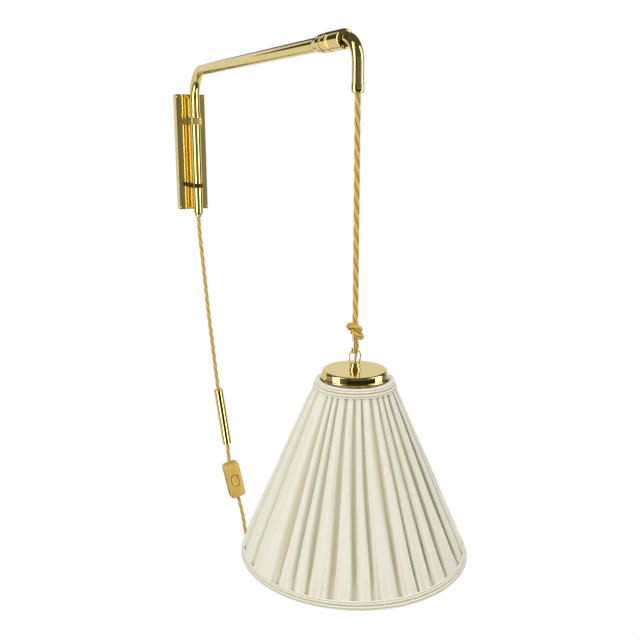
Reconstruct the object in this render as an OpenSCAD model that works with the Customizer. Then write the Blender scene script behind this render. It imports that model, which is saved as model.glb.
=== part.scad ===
// Adjustable wall lamp: brass arm with a gooseneck, a pleated shade on a cord and a brass counterweight.
// Millimetres. The wall is the plane y = 0, the room is towards -Y and +Z is up.
// The origin is the centre of the wall box's back face.

/* [Wall box] */
// Width of the wall box and its cover
box_w = 47.4; // [44:0.2:60]
// Height of the wall box and its cover
box_h = 180; // [170:1:240]
// Depth of the box behind the cover
box_depth = 12; // [10:0.5:20]
// Thickness of the box's side walls
box_wall = 1.5; // [1:0.1:2]
// Thickness of the box's back
box_back_t = 2; // [1.5:0.1:3]
// Radius of the two wall screw holes
wall_hole_r = 2.3; // [1.8:0.1:3]
// Distance between the two wall screw holes
wall_hole_spacing = 120; // [80:1:140]
// Thickness of the cover plate
cover_t = 2; // [1.6:0.1:3]
// Bevel round the cover's front edge
cover_bevel = 0.6; // [0.2:0.1:0.9]
// Distance from the cover's side edge to a corner screw
corner_inset_x = 3.2; // [3:0.1:3.8]
// Distance from the cover's end edge to a corner screw
corner_inset_z = 3.6; // [3.2:0.1:3.8]
// Radius of the threaded posts in the box's corners
post_r = 2.4; // [2.2:0.1:2.8]
// Radius of the corner screws' shanks
corner_screw_r = 1; // [0.8:0.05:1.2]
// Radius of the corner screws' heads
corner_head_r = 1.8; // [1.6:0.05:2.1]
// Height of the corner screws' domed heads
corner_head_h = 0.8; // [0.5:0.1:1.2]
// Length of a corner screw's shank in its post
corner_screw_len = 6; // [4:0.5:7]

/* [Straps on the wall box] */
// Thickness of the strap's metal
strap_t = 0.8; // [0.8:0.1:1.6]
// Play between a strap and the tube
strap_play = 0.12; // [0.1:0.02:0.3]
// Outer radius of the strap's bent corners
strap_corner_r = 2.4; // [2:0.1:3]
// Height of the lower strap
lower_strap_h = 6.6; // [5:0.2:12]
// Height of the lower strap's middle above the origin
lower_strap_z = -51; // [-60:1:-40]
// Height of the upper strap
upper_strap_h = 10.6; // [6:0.2:14]
// Height of the upper strap's middle above the origin
upper_strap_z = 48.8; // [40:0.2:56]
// How far the saddle behind the tube stays short of the tube's axis
saddle_short = 2; // [1.5:0.1:5]
// Radius of the saddle screws' shanks
saddle_screw_r = 1.5; // [1.2:0.1:2]
// Radius of the saddle screws' heads
saddle_head_r = 3; // [2.6:0.1:4]
// Height of the saddle screws' heads
saddle_head_h = 2; // [1.5:0.1:3]
// Length of a saddle screw's shank in its saddle
saddle_screw_len = 8; // [6:0.5:10]

/* [Swinging arm] */
// Outer diameter of the arm's tube
tube_d = 15; // [15:0.1:16]
// Wall of the arm's tube
tube_wall = 1; // [0.8:0.1:1.2]
// Distance from the cover's face to the axis of the upright tube
standoff = 24; // [22:0.5:32]
// Height of the arm's axis above the origin
arm_z = 123; // [118:1:160]
// Bend radius of the elbow at the tube's axis
elbow_r = 44; // [36:1:50]
// Height of the upright tube's lower end
foot_z = -92; // [-110:1:-85]
// Height of the tapered foot ferrule
foot_h = 9; // [7:0.5:14]
// Radius of the foot ferrule at its lower end
foot_tip_r = 4.1; // [3.9:0.1:6]
// Depth of the foot ferrule's spigot in the tube
foot_spigot = 10; // [8:1:16]
// Radius of the foot's set screw
foot_screw_r = 1.2; // [0.8:0.1:1.4]
// Distance from the tube's end down to the foot's set screw
foot_screw_drop = 3.2; // [2.8:0.1:3.6]
// Height of the cord bush in the foot
foot_bush_h = 14; // [10:1:15]
// Thickness of the cord bush's wall in the foot
foot_bush_t = 1.1; // [0.9:0.1:1.1]
// Height of the stop ring on the tube
stop_ring_h = 7.6; // [5:0.2:12]
// Thickness of the stop ring
stop_ring_t = 0.8; // [0.6:0.1:1.6]
// Gap between the stop ring and the upper strap
stop_gap = 0.2; // [0.1:0.05:0.3]
// Clearance of pieces that are soldered, pressed or screwed together
seat_gap = 0.03; // [0.02:0.01:0.05]
// Radial clearance of pieces that turn or slide
run_gap = 0.06; // [0.03:0.01:0.1]

/* [Telescope] */
// Distance from the upright tube's axis to the pendant's axis
reach = 549; // [520:1:600]
// Gap between the clamp nut and the gooseneck's bend when the arm is pushed in
nut_rest = 0.8; // [0.4:0.1:3]
// Length of the collar's taper
collar_taper = 10; // [6:1:12]
// Length of the collar up to its front face
collar_len = 25; // [24.5:0.5:36]
// Outer radius of the collar
collar_r = 9.6; // [9.4:0.1:11]
// Radius of the collar's front lip
collar_lip_r = 9.8; // [9.6:0.1:11.2]
// How far the tube goes into the collar
collar_socket = 20; // [14:1:22]
// Radius of the collar's threaded spigot
spigot_r = 8; // [7.8:0.1:8.2]
// Length of the collar's threaded spigot
spigot_len = 23; // [20:1:26]
// Length of the grip ring
grip_len = 15; // [10:1:18]
// Outer radius of the grip ring
grip_r = 10; // [9.2:0.1:10.4]
// Length of the clamp nut
nut_len = 25.2; // [22:0.2:30]
// Outer radius of the clamp nut
nut_r = 9.9; // [9.5:0.1:11]
// Rounding of the clamp nut's front edge
nut_round = 3; // [1:0.5:3]
// Outer diameter of the inner tube and gooseneck
neck_d = 12; // [11:0.5:12]
// Wall of the inner tube and gooseneck
neck_wall = 1; // [0.8:0.1:1]
// Bend radius of the gooseneck at the tube's axis
goose_r = 25; // [20:1:25]
// Length of the inner tube's straight part
inner_len = 344; // [300:1:360]
// Length of the guide bush on the inner tube's end
guide_len = 18; // [12:1:30]
// Height of the gooseneck's mouth
mouth_z = 71; // [60:1:74]
// Height of the mouth ferrule
mouth_h = 8.6; // [7:0.2:14]
// Thickness of the mouth ferrule's wall
mouth_t = 0.5; // [0.4:0.1:1.2]
// Thickness of the mouth ferrule's bottom lip
mouth_lip = 3; // [2.5:0.5:4]
// Bore radius of the nylon bush in the mouth
mouth_bore_r = 4; // [3.9:0.05:4.2]

/* [Cord and hanger] */
// Diameter of the twisted textile cord
cord_d = 6.2; // [6:0.1:6.4]
// Height of the knot's middle
knot_z = -164.7; // [-170:0.1:-160]
// Half the length of cord that the knot takes up along the pendant's axis
knot_half = 9.5; // [9:0.1:10]
// Radius of the hook's wire
hook_wire_r = 1.2; // [1:0.1:1.3]
// Height of the bail ring's centre
bail_z = -191.8; // [-193:0.1:-191]
// Radius of the bail ring at the wire's middle
bail_r = 6.5; // [6.3:0.1:6.8]
// Radius of the bail's wire
bail_wire_r = 0.75; // [0.6:0.05:0.8]
// Height of the bail's pivot
pivot_z = -200.7; // [-201:0.1:-200]
// Lean of the bail's straight legs, in degrees
bail_lean = 8; // [6:0.5:9]
// Radius of the balls at the bail's feet
bail_ball_r = 1.05; // [0.95:0.05:1.05]
// Length of the pins on the bail's feet
bail_pin_len = 2.3; // [1.8:0.1:2.6]

/* [Cap and nipple] */
// Height of the cap's top face
cap_z = -206; // [-208:0.5:-205.5]
// Radius of the cap
cap_r = 34; // [30:0.5:36]
// Height of the cap's side
cap_h = 8; // [6:0.5:9]
// Thickness of the cap's metal
cap_t = 1; // [0.8:0.1:1.4]
// How far the cap's lower lip stands out
cap_lip = 1; // [0.5:0.1:1.5]
// Radius of the neck on the cap
neck_base_r = 5.9; // [5.6:0.1:8]
// Height of the neck's base
neck_base_h = 3.5; // [3:0.1:4]
// Radius of the boss on the neck
neck_boss_r = 4.2; // [4:0.05:4.2]
// Bore radius of the neck
neck_bore_r = 2.1; // [2:0.05:2.2]
// Height of the boss's top
neck_boss_z = -199.2; // [-199.4:0.1:-198.6]
// Radius of the threaded nipple
nipple_r = 5; // [4.5:0.1:5]
// Bore radius of the threaded nipple
nipple_bore_r = 3.5; // [3:0.1:3.8]
// Thickness of the spider's hub and arms
spider_t = 1.5; // [1:0.1:2]
// Radius of the spider's hub
spider_hub_r = 12; // [9:0.5:16]
// Width of the spider's arms
spider_arm_w = 5; // [4:0.5:8]
// Number of spider arms
spider_arms = 3; // [3:1:6]
// Across flats of the lock nut
lock_nut_af = 14; // [13:0.5:17]
// Height of the lock nut
lock_nut_h = 3; // [2.5:0.5:5]

/* [Shade] */
// Height of the shade's top rim
shade_top_z = -217.4; // [-220:0.1:-217.4]
// Height of the shade from rim to rim
shade_h = 189.9; // [160:0.1:220]
// Radius of the fabric at the top rim
fabric_top_r = 39.2; // [38.6:0.2:48]
// Radius of the fabric at the bottom rim
fabric_bottom_r = 120.4; // [110:0.2:140]
// Radius of the top and bottom rings' wire
ring_wire_r = 1.5; // [1.2:0.1:1.8]
// Distance from the rim to a ring's middle
ring_inset = 2.1; // [2:0.1:3]
// Distance from the fabric to the top ring's middle
ring_depth_top = 3.2; // [3:0.1:5]
// Distance from the fabric to the bottom ring's middle
ring_depth_bottom = 5.2; // [5:0.1:7]
// Number of ribs
ribs = 12; // [8:1:16]
// Radius of the ribs' wire
rib_r = 1; // [0.8:0.1:1.2]
// Number of main pleats
pleats = 30; // [24:1:34]
// Depth of the pleats under the top trim
pleat_top = 0.5; // [0.3:0.1:0.6]
// Depth of the pleats above the bottom trim
pleat_bottom = 2; // [1.2:0.1:2.2]
// Distance from the ring's middle to the inside of the fabric
fabric_clear = 1.9; // [1.85:0.05:2]
// Thickness of the lining
lining_t = 0.8; // [0.5:0.1:1]
// Height of the top trim
top_trim_h = 7.4; // [6:0.2:9]
// Height of the bottom trim
bottom_trim_h = 6; // [5:0.2:6]
// Thickness of the trims' band
trim_t = 0.6; // [0.4:0.1:1]
// Radius of the piping on the trims
piping_r = 0.9; // [0.7:0.05:1.1]
// Distance of the trims' inside from the fabric
trim_clear = 0.95; // [0.9:0.05:1.1]

/* [Lampholder and bulb] */
// Radius of the lampholder's shell
holder_r = 20; // [19:0.5:22]
// Thickness of the lampholder's shell
holder_t = 1; // [0.8:0.1:1.2]
// Height of the lampholder's domed cap
holder_cap_h = 22; // [18:0.5:26]
// Height of the lampholder's shell
holder_shell_h = 38; // [36:0.5:44]
// Height of the ceramic insert
insert_h = 20; // [16:0.5:22]
// Radius of the bulb's screw cap
bulb_cap_r = 13.2; // [13:0.1:13.4]
// Radius of the bulb's glass
bulb_r = 30; // [24:0.5:34]
// Height of the bulb from its contact to its crown
bulb_h = 92; // [84:1:110]

/* [Counterweight] */
// Diameter of the counterweight
weight_d = 15; // [14:0.5:20]
// Length of the counterweight
weight_len = 100; // [80:1:120]
// Wall of the counterweight's sleeve
weight_wall = 1; // [0.8:0.1:1.5]
// Thickness of the end plugs
weight_plug_t = 6; // [4:0.5:10]
// Radius of the set screw that grips the cord
weight_screw_r = 1.5; // [1:0.1:1.5]

/* [Inline switch] */
// Length of the switch
switch_len = 66; // [62:1:72]
// Width of the switch
switch_w = 27; // [24:0.5:32]
// Thickness of the switch
switch_t = 16; // [16:0.5:20]
// Wall of the switch's shells
switch_wall = 2; // [1.5:0.1:2.4]
// Rounding of the switch's corners
switch_round = 6; // [4:0.5:8]
// Chamfer along the switch's front
switch_chamfer = 2; // [1:0.1:2.2]
// Width of the rocker's oval
rocker_w = 10.6; // [9:0.2:12]
// Length of the rocker's oval
rocker_len = 21; // [18:0.5:24]
// Clearance round the rocker
rocker_gap = 0.35; // [0.3:0.05:0.5]
// Radius of the rocker's axle
rocker_axle_r = 1; // [0.8:0.1:1.2]

/* [Tie round the coil] */
// Width of the tie's band
tie_w = 9; // [6:0.5:12]
// Thickness of the tie's band
tie_t = 1.2; // [0.8:0.1:2]
// Distance between the tie and the turns
tie_gap = 0.6; // [0.4:0.1:1]

/* [Plug] */
// Width of the plug
plug_w = 35; // [34:0.5:38]
// Thickness of the plug
plug_t = 13.6; // [12:0.2:15]
// Length of the plug's body
plug_len = 34; // [30:1:40]
// Radius of the plug's pins
plug_pin_r = 2; // [1.9:0.05:2.2]
// Length of the plug's pins
plug_pin_len = 19; // [18:0.5:20]
// Distance between the plug's pins
plug_pin_gap = 18.6; // [17.6:0.1:19]
// Length of the plug's strain relief
boot_len = 22; // [18:1:28]

/* [Hidden] */

$fn = 48;
cord_r = cord_d / 2;
tube_r = tube_d / 2;
tube_in_r = tube_r - tube_wall;
neck_r = neck_d / 2;
neck_in_r = neck_r - neck_wall;
face_y = box_depth + cover_t;
tube_y = face_y + standoff;
pendant_y = tube_y + reach;
strap_in = tube_r + strap_play;
strap_out = strap_in + strap_t;
// Distances along the arm from the upright tube's axis
goose_s = reach - goose_r;
inner_s = goose_s - inner_len;
nut_front = goose_s - nut_rest;
nut_s = nut_front - nut_len;
collar_front = nut_s - 0.5 - grip_len;
collar_s = collar_front - collar_len;
weight_r = weight_d / 2;

// The foot's lower end, and the seat of its bush
foot_end_z = foot_z - foot_h;
foot_seat_z = foot_end_z + 3;
foot_bush_r = cord_r + 0.1 + foot_bush_t;

// Where the cord swings: its domed top end lies in the mouth bush.
swing_z = mouth_z + mouth_lip;
// Gap that a domed or turning cord end keeps from the next piece
cord_gap = 0.3;
// The bail's straight legs run on from its round part to the pivot
bail_leg = (bail_z - bail_r * sin(bail_lean) - pivot_z) / cos(bail_lean);
bail_foot_x = bail_r * cos(bail_lean) - bail_leg * sin(bail_lean);
knot_top_z = knot_z + knot_half;
knot_bottom_z = knot_z - knot_half;

// Heights down the pendant: the spider lies on the shade's top ring
spider_z = shade_top_z - ring_inset + ring_wire_r;
spacer_z = spider_z + spider_t;
lock_nut_z = spider_z - lock_nut_h;
holder_z = lock_nut_z - 0.3;
shell_z = holder_z - holder_cap_h;
bulb_top_z = shell_z - insert_h + 4.7;
bulb_crown_z = bulb_top_z - bulb_h;

// The shade's slanted lines, as radius at a height
shade_bottom_z = shade_top_z - shade_h;
fabric_slope = (fabric_bottom_r - fabric_top_r) / shade_h;
fabric_lean = atan(fabric_slope);
top_ring_z = shade_top_z - ring_inset;
bottom_ring_z = shade_bottom_z + ring_inset;
top_ring_r = fabric_r(top_ring_z) - ring_depth_top;
bottom_ring_r = fabric_r(bottom_ring_z) - ring_depth_bottom;
frame_slope = (bottom_ring_r - top_ring_r) / (top_ring_z - bottom_ring_z);
frame_lean = atan(frame_slope);
function fabric_r(z) = fabric_top_r + (shade_top_z - z) * fabric_slope;
function frame_r(z) = top_ring_r + (top_ring_z - z) * frame_slope;

// Routes of the free cord, chosen by hand. The lead hangs in the plane of the upright tube's axis.
lead_y = tube_y;
upper_route = [
    [0, -101], [0, -108], [1, -130], [3, -155], [5, -180], [7, -205], [9, -232], [11, -258],
    [13, -280], [15.2, -302], [17.2, -324], [19.2, -346], [21, -365], [22.7, -383], [23.4, -389.5], [24.2, -396]
];
weight_tilt = 7.4;
weight_top = [24.2, -396];
middle_route = [
    [37.1, -495.2], [37.9, -502], [38.3, -508], [38.6, -514], [39, -520], [39.8, -526.5], [41, -533]
];
switch_tilt = 11.5;
switch_top = [41, -533];
lower_route = [
    [54.2, -597.7], [55.5, -604], [57.6, -613], [60, -624], [62.2, -635.5], [64.1, -648], [65.5, -659],
    [66.8, -669], [69, -681.5], [73.8, -694.5], [82, -707], [94, -717.5], [109, -726], [125, -732.2], [136, -735.2],
    [142, -736], [147, -736]
];
coil_centre = [153.2, -690];
coil_r = 46;
coil_step = 6.8;
coil_turns = 6.25;
coil_rings = 24;
coil_sides = 6;
// The tail leaves the coil upwards at its right, turns over and hangs to the plug.
tail_route = [
    [199.2, -683.8], [199.2, -676], [201.2, -666], [207, -657.5], [215.5, -652], [225.2, -650.2],
    [235, -652], [243.5, -657.5], [249.2, -666], [251.2, -676], [251.2, -684]
];
plug_top = [251.2, -684];

// The knot's second half. The first half is the same turned half round its Y axis.
knot_half_route = [
    [0, 4.9, 0], [1.3, 4.9, 0.9], [3.8, 4.5, 2.8], [5.6, 2.8, 4.7], [6.2, 0.2, 6.2], [5.4, -2.8, 6.8],
    [3.4, -5.1, 6.3], [0.8, -6.2, 4.9], [-1.5, -5.9, 2.9], [-2.9, -4.3, 0.7], [-2.3, -2, -1.3],
    [-0.7, -0.7, -3.6], [0, 0, -6.6], [0, 0, -9.5]
];
knot_turn = 0;

// The cord below the knot, beside the hook and into the neck: across, forwards, height and radius
leg_route = [
    [0, 0, -174.2, 3.1], [0, 0, -177.4, 3.1], [0.8, -0.6, -179, 3], [1.6, -1.5, -181, 2.8],
    [2.3, -3, -183, 2.7], [2.5, -4, -185.3, 2.6], [2.3, -3.9, -188, 2.5], [1.5, -2.7, -191.5, 2.2],
    [0.5, -1, -195, 1.6], [0, 0, -198, 1], [0, 0, -200.7, 0.8]
];

function unit(v) = v / norm(v);
function tangent(p, i) = unit(p[min(i + 1, len(p) - 1)] - p[max(i - 1, 0)]);
function square_to(v, t) = unit(v - (v * t) * t);
// Side directions carried along a route without twist
function carried(p, first) = [
    for (i = 0, u = square_to(first, tangent(p, 0)); i < len(p);
         i = i + 1, u = square_to(u, tangent(p, min(i, len(p) - 1)))) u
];
// Middle of each pair of neighbouring points, for a smoother route
function between(p) = [for (i = [0:len(p) - 2]) (p[i] + p[i + 1]) / 2];
function flat_route(route, y) = [for (q = route) [q[0], -y, q[1]]];

// One closed tube along points p with radii r, as triangles
module swept(p, r, sides, first = [0, 1, 0]) {
    n = len(p);
    u = carried(p, first);
    rings = [
        for (i = [0:n - 1])
            for (j = [0:sides - 1])
                let (a = 360 * j / sides, v = cross(tangent(p, i), u[i]))
                    p[i] + r[i] * (cos(a) * u[i] + sin(a) * v)
    ];
    wall = [
        for (i = [0:n - 2])
            for (j = [0:sides - 1])
                let (k = (j + 1) % sides, a = i * sides, b = a + sides)
                    each [[a + j, b + j, b + k], [a + j, b + k, a + k]]
    ];
    last = (n - 1) * sides;
    caps = [
        for (j = [1:sides - 2]) each [[0, j, j + 1], [last, last + j + 1, last + j]]
    ];
    polyhedron(points = rings, faces = concat(wall, caps));
}

module cord_tube(p, sides = 8, first = [0, 1, 0]) {
    swept(p, [for (q = p) cord_r], sides, first);
}

module on_tube() {
    translate([0, -tube_y, 0])
        children();
}

// Along the arm: local Z runs from the upright tube's axis into the room
module on_arm() {
    translate([0, -tube_y, arm_z])
        rotate([90, 0, 0])
            children();
}

module on_pendant() {
    translate([0, -pendant_y, 0])
        children();
}

module hollow(r_out, r_in, z_low, z_high) {
    translate([0, 0, z_low])
        difference() {
            cylinder(r = r_out, h = z_high - z_low);
            translate([0, 0, -1])
                cylinder(r = r_in, h = z_high - z_low + 2);
        }
}

module lathe(profile) {
    rotate_extrude()
        polygon(profile);
}

// A quarter bend of round tube that starts at the origin going up and ends going towards -Y
module quarter_bend(bend_r, r_out, r_in) {
    translate([0, -bend_r, 0])
        rotate([90, 0, 90])
            rotate_extrude(angle = 90)
                translate([bend_r, 0])
                    difference() {
                        circle(r = r_out);
                        circle(r = r_in);
                    }
}

module solid_bend(bend_r, r_out) {
    translate([0, -bend_r, 0])
        rotate([90, 0, 90])
            rotate_extrude(angle = 90)
                translate([bend_r, 0])
                    circle(r = r_out);
}

module rounded_rect(w, h, r) {
    square([w - 2 * r, h], center = true);
    square([w, h - 2 * r], center = true);
    for (x = [-1, 1])
        for (y = [-1, 1])
            translate([x * (w / 2 - r), y * (h / 2 - r)])
                circle(r = r);
}

module oval(w, h) {
    square([w, h - w], center = true);
    for (y = [-1, 1])
        translate([0, y * (h - w) / 2])
            circle(d = w);
}

// Places the corner screws' axes; local Z runs into the room
module at_corners() {
    for (x = [-1, 1])
        for (z = [-1, 1])
            translate([x * (box_w / 2 - corner_inset_x), 0, z * (box_h / 2 - corner_inset_z)])
                rotate([90, 0, 0])
                    children();
}

module at_wall_holes() {
    for (z = [-1, 1])
        translate([0, 0, z * wall_hole_spacing / 2])
            rotate([90, 0, 0])
                children();
}

module at_saddles() {
    for (z = [lower_strap_z, upper_strap_z])
        translate([0, 0, z])
            rotate([90, 0, 0])
                children();
}

module wall_box() {
    color("goldenrod")
        difference() {
            union() {
                difference() {
                    translate([-box_w / 2, -box_depth, -box_h / 2])
                        cube([box_w, box_depth, box_h]);
                    translate([-box_w / 2 + box_wall, -box_depth - 1, -box_h / 2 + box_wall])
                        cube([box_w - 2 * box_wall, box_depth + 1 - box_back_t, box_h - 2 * box_wall]);
                }
                at_corners()
                    translate([0, 0, box_back_t - 0.5])
                        cylinder(r = post_r, h = box_depth - box_back_t + 0.5);
            }
            at_wall_holes()
                translate([0, 0, -1])
                    cylinder(r = wall_hole_r, h = box_back_t + 2);
            at_corners()
                translate([0, 0, box_depth - corner_screw_len - 0.5])
                    cylinder(r = corner_screw_r + seat_gap, h = corner_screw_len + 1);
        }
}

module cover_plate() {
    color("gold")
        difference() {
            union() {
                translate([-box_w / 2, -face_y + cover_bevel, -box_h / 2])
                    cube([box_w, cover_t - cover_bevel, box_h]);
                // The bevelled front, as two crossing prisms cut to one shape
                intersection() {
                    translate([0, 0, -box_h / 2])
                        linear_extrude(box_h)
                            polygon([
                                [-box_w / 2, -face_y + cover_bevel], [box_w / 2, -face_y + cover_bevel],
                                [box_w / 2 - cover_bevel, -face_y], [-box_w / 2 + cover_bevel, -face_y]
                            ]);
                    translate([-box_w / 2, 0, 0])
                        rotate([90, 0, 90])
                            linear_extrude(box_w)
                                polygon([
                                    [-face_y + cover_bevel, -box_h / 2], [-face_y + cover_bevel, box_h / 2],
                                    [-face_y, box_h / 2 - cover_bevel], [-face_y, -box_h / 2 + cover_bevel]
                                ]);
                }
            }
            at_corners()
                translate([0, 0, box_depth - 1])
                    cylinder(r = corner_screw_r + seat_gap, h = cover_t + 2);
            at_saddles()
                translate([0, 0, box_depth - 1])
                    cylinder(r = saddle_screw_r + seat_gap, h = cover_t + 2);
        }
}

module corner_screws() {
    color("khaki")
        at_corners() {
            translate([0, 0, box_depth - corner_screw_len])
                cylinder(r = corner_screw_r, h = corner_screw_len + cover_t + 0.1);
            translate([0, 0, face_y])
                rotate_extrude()
                    intersection() {
                        translate([0, corner_head_h - dome_r(corner_head_r, corner_head_h)])
                            circle(r = dome_r(corner_head_r, corner_head_h));
                        square([corner_head_r, corner_head_h]);
                    }
        }
}

// Radius of a dome of a given base radius and height
function dome_r(base, height) = (base * base + height * height) / (2 * height);

module strap(middle_z, height) {
    translate([0, 0, middle_z - height / 2])
        linear_extrude(height)
            difference() {
                strap_outline(strap_out, tube_y + strap_out, strap_corner_r);
                strap_outline(strap_in, tube_y + strap_in, strap_corner_r - strap_t);
            }
}

// A U as a filled shape: half width, distance of its front from the wall, corner radius
module strap_outline(half, front, corner) {
    translate([-half, -front + corner])
        square([2 * half, front - corner - face_y]);
    translate([-half + corner, -front])
        square([2 * (half - corner), corner + 1]);
    for (x = [-1, 1])
        translate([x * (half - corner), -front + corner])
            circle(r = corner);
}

module lower_strap() {
    color("goldenrod")
        strap(lower_strap_z, lower_strap_h);
}

module upper_strap() {
    color("goldenrod")
        strap(upper_strap_z, upper_strap_h);
}

module saddle(middle_z, height) {
    difference() {
        translate([-strap_in + seat_gap, -tube_y + saddle_short, middle_z - height / 2])
            cube([2 * (strap_in - seat_gap), standoff - saddle_short, height]);
        on_tube()
            translate([0, 0, middle_z - height])
                cylinder(r = tube_r + run_gap, h = 2 * height);
        translate([0, -face_y + 1, middle_z])
            rotate([90, 0, 0])
                cylinder(r = saddle_screw_r + seat_gap, h = saddle_screw_len + 1.5);
    }
}

module lower_saddle() {
    color("darkgoldenrod")
        saddle(lower_strap_z, lower_strap_h);
}

module upper_saddle() {
    color("darkgoldenrod")
        saddle(upper_strap_z, upper_strap_h);
}

module saddle_screws() {
    color("silver")
        at_saddles() {
            translate([0, 0, box_depth - saddle_head_h])
                cylinder(r = saddle_head_r, h = saddle_head_h);
            translate([0, 0, box_depth - 0.1])
                cylinder(r = saddle_screw_r, h = cover_t + saddle_screw_len + 0.1);
        }
}

module arm_tube() {
    color("gold") {
        on_tube() {
            hollow(tube_r, tube_in_r, foot_z, arm_z - elbow_r);
            translate([0, 0, arm_z - elbow_r])
                quarter_bend(elbow_r, tube_r, tube_in_r);
        }
        on_arm()
            hollow(tube_r, tube_in_r, elbow_r, collar_s + collar_socket);
    }
}

module stop_ring() {
    color("goldenrod")
        on_tube()
            hollow(
                tube_r + stop_ring_t, tube_r + seat_gap,
                upper_strap_z + upper_strap_h / 2 + stop_gap,
                upper_strap_z + upper_strap_h / 2 + stop_gap + stop_ring_h
            );
}

module foot_ferrule() {
    spigot_out = tube_in_r - seat_gap;
    color("gold")
        on_tube()
            difference() {
                lathe([
                    [0, foot_z + foot_spigot], [spigot_out, foot_z + foot_spigot], [spigot_out, foot_z],
                    [tube_r, foot_z], [tube_r, foot_z - 2], [tube_r - 1.2, foot_z - 4],
                    [foot_tip_r + 0.4, foot_end_z + 0.8], [foot_tip_r, foot_end_z], [0, foot_end_z]
                ]);
                translate([0, 0, foot_end_z - 1])
                    cylinder(r = cord_r + 0.2, h = foot_h + foot_spigot + 2);
                translate([0, 0, foot_seat_z])
                    cylinder(r = foot_bush_r + seat_gap, h = foot_h + foot_spigot);
                at_foot_screw()
                    cylinder(r = foot_screw_r + seat_gap, h = tube_r + 1);
            }
}

// The set screw's axis at the front of the foot
module at_foot_screw() {
    translate([0, -foot_bush_r - 0.1, foot_z - foot_screw_drop])
        rotate([90, 0, 0])
            children();
}

module foot_screw() {
    color("dimgray")
        on_tube()
            at_foot_screw()
                cylinder(r = foot_screw_r, h = tube_r - 1 - foot_bush_r);
}

module foot_bush() {
    color("white")
        on_tube()
            hollow(foot_bush_r, cord_r + 0.1, foot_seat_z, foot_seat_z + foot_bush_h);
}

module arm_cord() {
    color("goldenrod") {
        on_tube() {
            translate([0, 0, foot_end_z + cord_gap])
                cylinder(r = cord_r, h = arm_z - elbow_r - foot_end_z - cord_gap);
            translate([0, 0, arm_z - elbow_r])
                solid_bend(elbow_r, cord_r);
        }
        on_arm()
            translate([0, 0, elbow_r])
                cylinder(r = cord_r, h = inner_s - elbow_r - cord_gap);
    }
}

module arm_collar() {
    groove = 1;
    color("gold")
        on_arm()
            difference() {
                lathe([
                    [0, collar_s], [tube_r + 0.2, collar_s], [collar_r - 0.6, collar_s + collar_taper],
                    [collar_r, collar_s + collar_taper + 1.5], [collar_r, collar_front - 5],
                    [collar_r - groove, collar_front - 4.2], [collar_r - groove, collar_front - 3.2],
                    [collar_lip_r, collar_front - 2.6], [collar_lip_r, collar_front],
                    [spigot_r, collar_front], [spigot_r, collar_front + spigot_len],
                    [0, collar_front + spigot_len]
                ]);
                translate([0, 0, collar_s - 1])
                    cylinder(r = tube_r + seat_gap, h = collar_socket + 1);
                translate([0, 0, collar_s])
                    cylinder(r = tube_in_r, h = collar_len + spigot_len + 1);
            }
}

module collet() {
    head_s = collar_front + spigot_len + 0.2;
    color("white")
        on_arm()
            difference() {
                lathe([
                    [0, collar_s + collar_socket + 2], [tube_in_r - seat_gap, collar_s + collar_socket + 2],
                    [tube_in_r - seat_gap, head_s], [spigot_r - 0.3, head_s], [spigot_r - 0.8, head_s + 1.6],
                    [0, head_s + 1.6]
                ]);
                translate([0, 0, collar_s])
                    cylinder(r = neck_r + run_gap, h = collar_len + spigot_len + 10);
                // Slits that let the collet close on the inner tube
                for (a = [0, 90])
                    rotate([0, 0, a])
                        translate([-10, -0.4, collar_front])
                            cube([20, 0.8, spigot_len + 10]);
            }
}

module grip_ring() {
    color("khaki")
        on_arm()
            difference() {
                lathe([
                    [spigot_r + seat_gap, collar_front + 0.1], [grip_r - 0.5, collar_front + 0.1],
                    [grip_r, collar_front + 0.7], [grip_r, nut_s - 1.2], [grip_r - 0.6, nut_s - 0.4],
                    [spigot_r + seat_gap, nut_s - 0.4]
                ]);
                // Grip grooves round the ring
                for (s = [collar_front + 4, nut_s - 4.5])
                    translate([0, 0, s])
                        hollow(grip_r + 1, grip_r - 0.5, 0, 0.8);
            }
}

module clamp_nut() {
    chamber = collar_front + spigot_len + 3;
    color("gold")
        on_arm()
            difference() {
                rotate_extrude()
                    nut_outline();
                translate([0, 0, nut_s - 1])
                    cylinder(r = spigot_r + run_gap, h = chamber - nut_s + 1);
                translate([0, 0, nut_s])
                    cylinder(r = neck_r + 2 * run_gap, h = nut_len + 1);
            }
}

module nut_outline() {
    translate([0, nut_s])
        square([nut_r, nut_len - nut_round]);
    square_top = nut_front - nut_round;
    translate([0, square_top - 1])
        square([nut_r - nut_round, nut_round + 1]);
    translate([nut_r - nut_round, square_top])
        circle(r = nut_round);
}

module guide_bush() {
    color("white")
        on_arm()
            difference() {
                translate([0, 0, inner_s - 2])
                    cylinder(r = tube_in_r - run_gap, h = guide_len + 2);
                translate([0, 0, inner_s])
                    cylinder(r = neck_r + run_gap, h = guide_len + 1);
                translate([0, 0, inner_s - 3])
                    cylinder(r = neck_in_r - 0.5, h = 4);
            }
}

module gooseneck() {
    tube_end_z = mouth_z + mouth_lip;
    color("gold") {
        on_arm()
            hollow(neck_r, neck_in_r, inner_s + 0.1, goose_s);
        translate([0, -tube_y - goose_s, arm_z])
            goose_bend(neck_r, neck_in_r);
        on_pendant()
            hollow(neck_r, neck_in_r, tube_end_z, arm_z - goose_r);
    }
}

// A quarter bend that starts at the origin going towards -Y and ends going down
module goose_bend(r_out, r_in) {
    translate([0, 0, -goose_r])
        rotate([0, -90, 0])
            rotate([0, 0, 0])
                rotate_extrude(angle = -90)
                    translate([goose_r, 0])
                        difference() {
                            circle(r = r_out);
                            circle(r = r_in);
                        }
}

module goose_cord_bend() {
    translate([0, 0, -goose_r])
        rotate([0, -90, 0])
            rotate_extrude(angle = -90)
                translate([goose_r, 0])
                    circle(r = cord_r);
}

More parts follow.
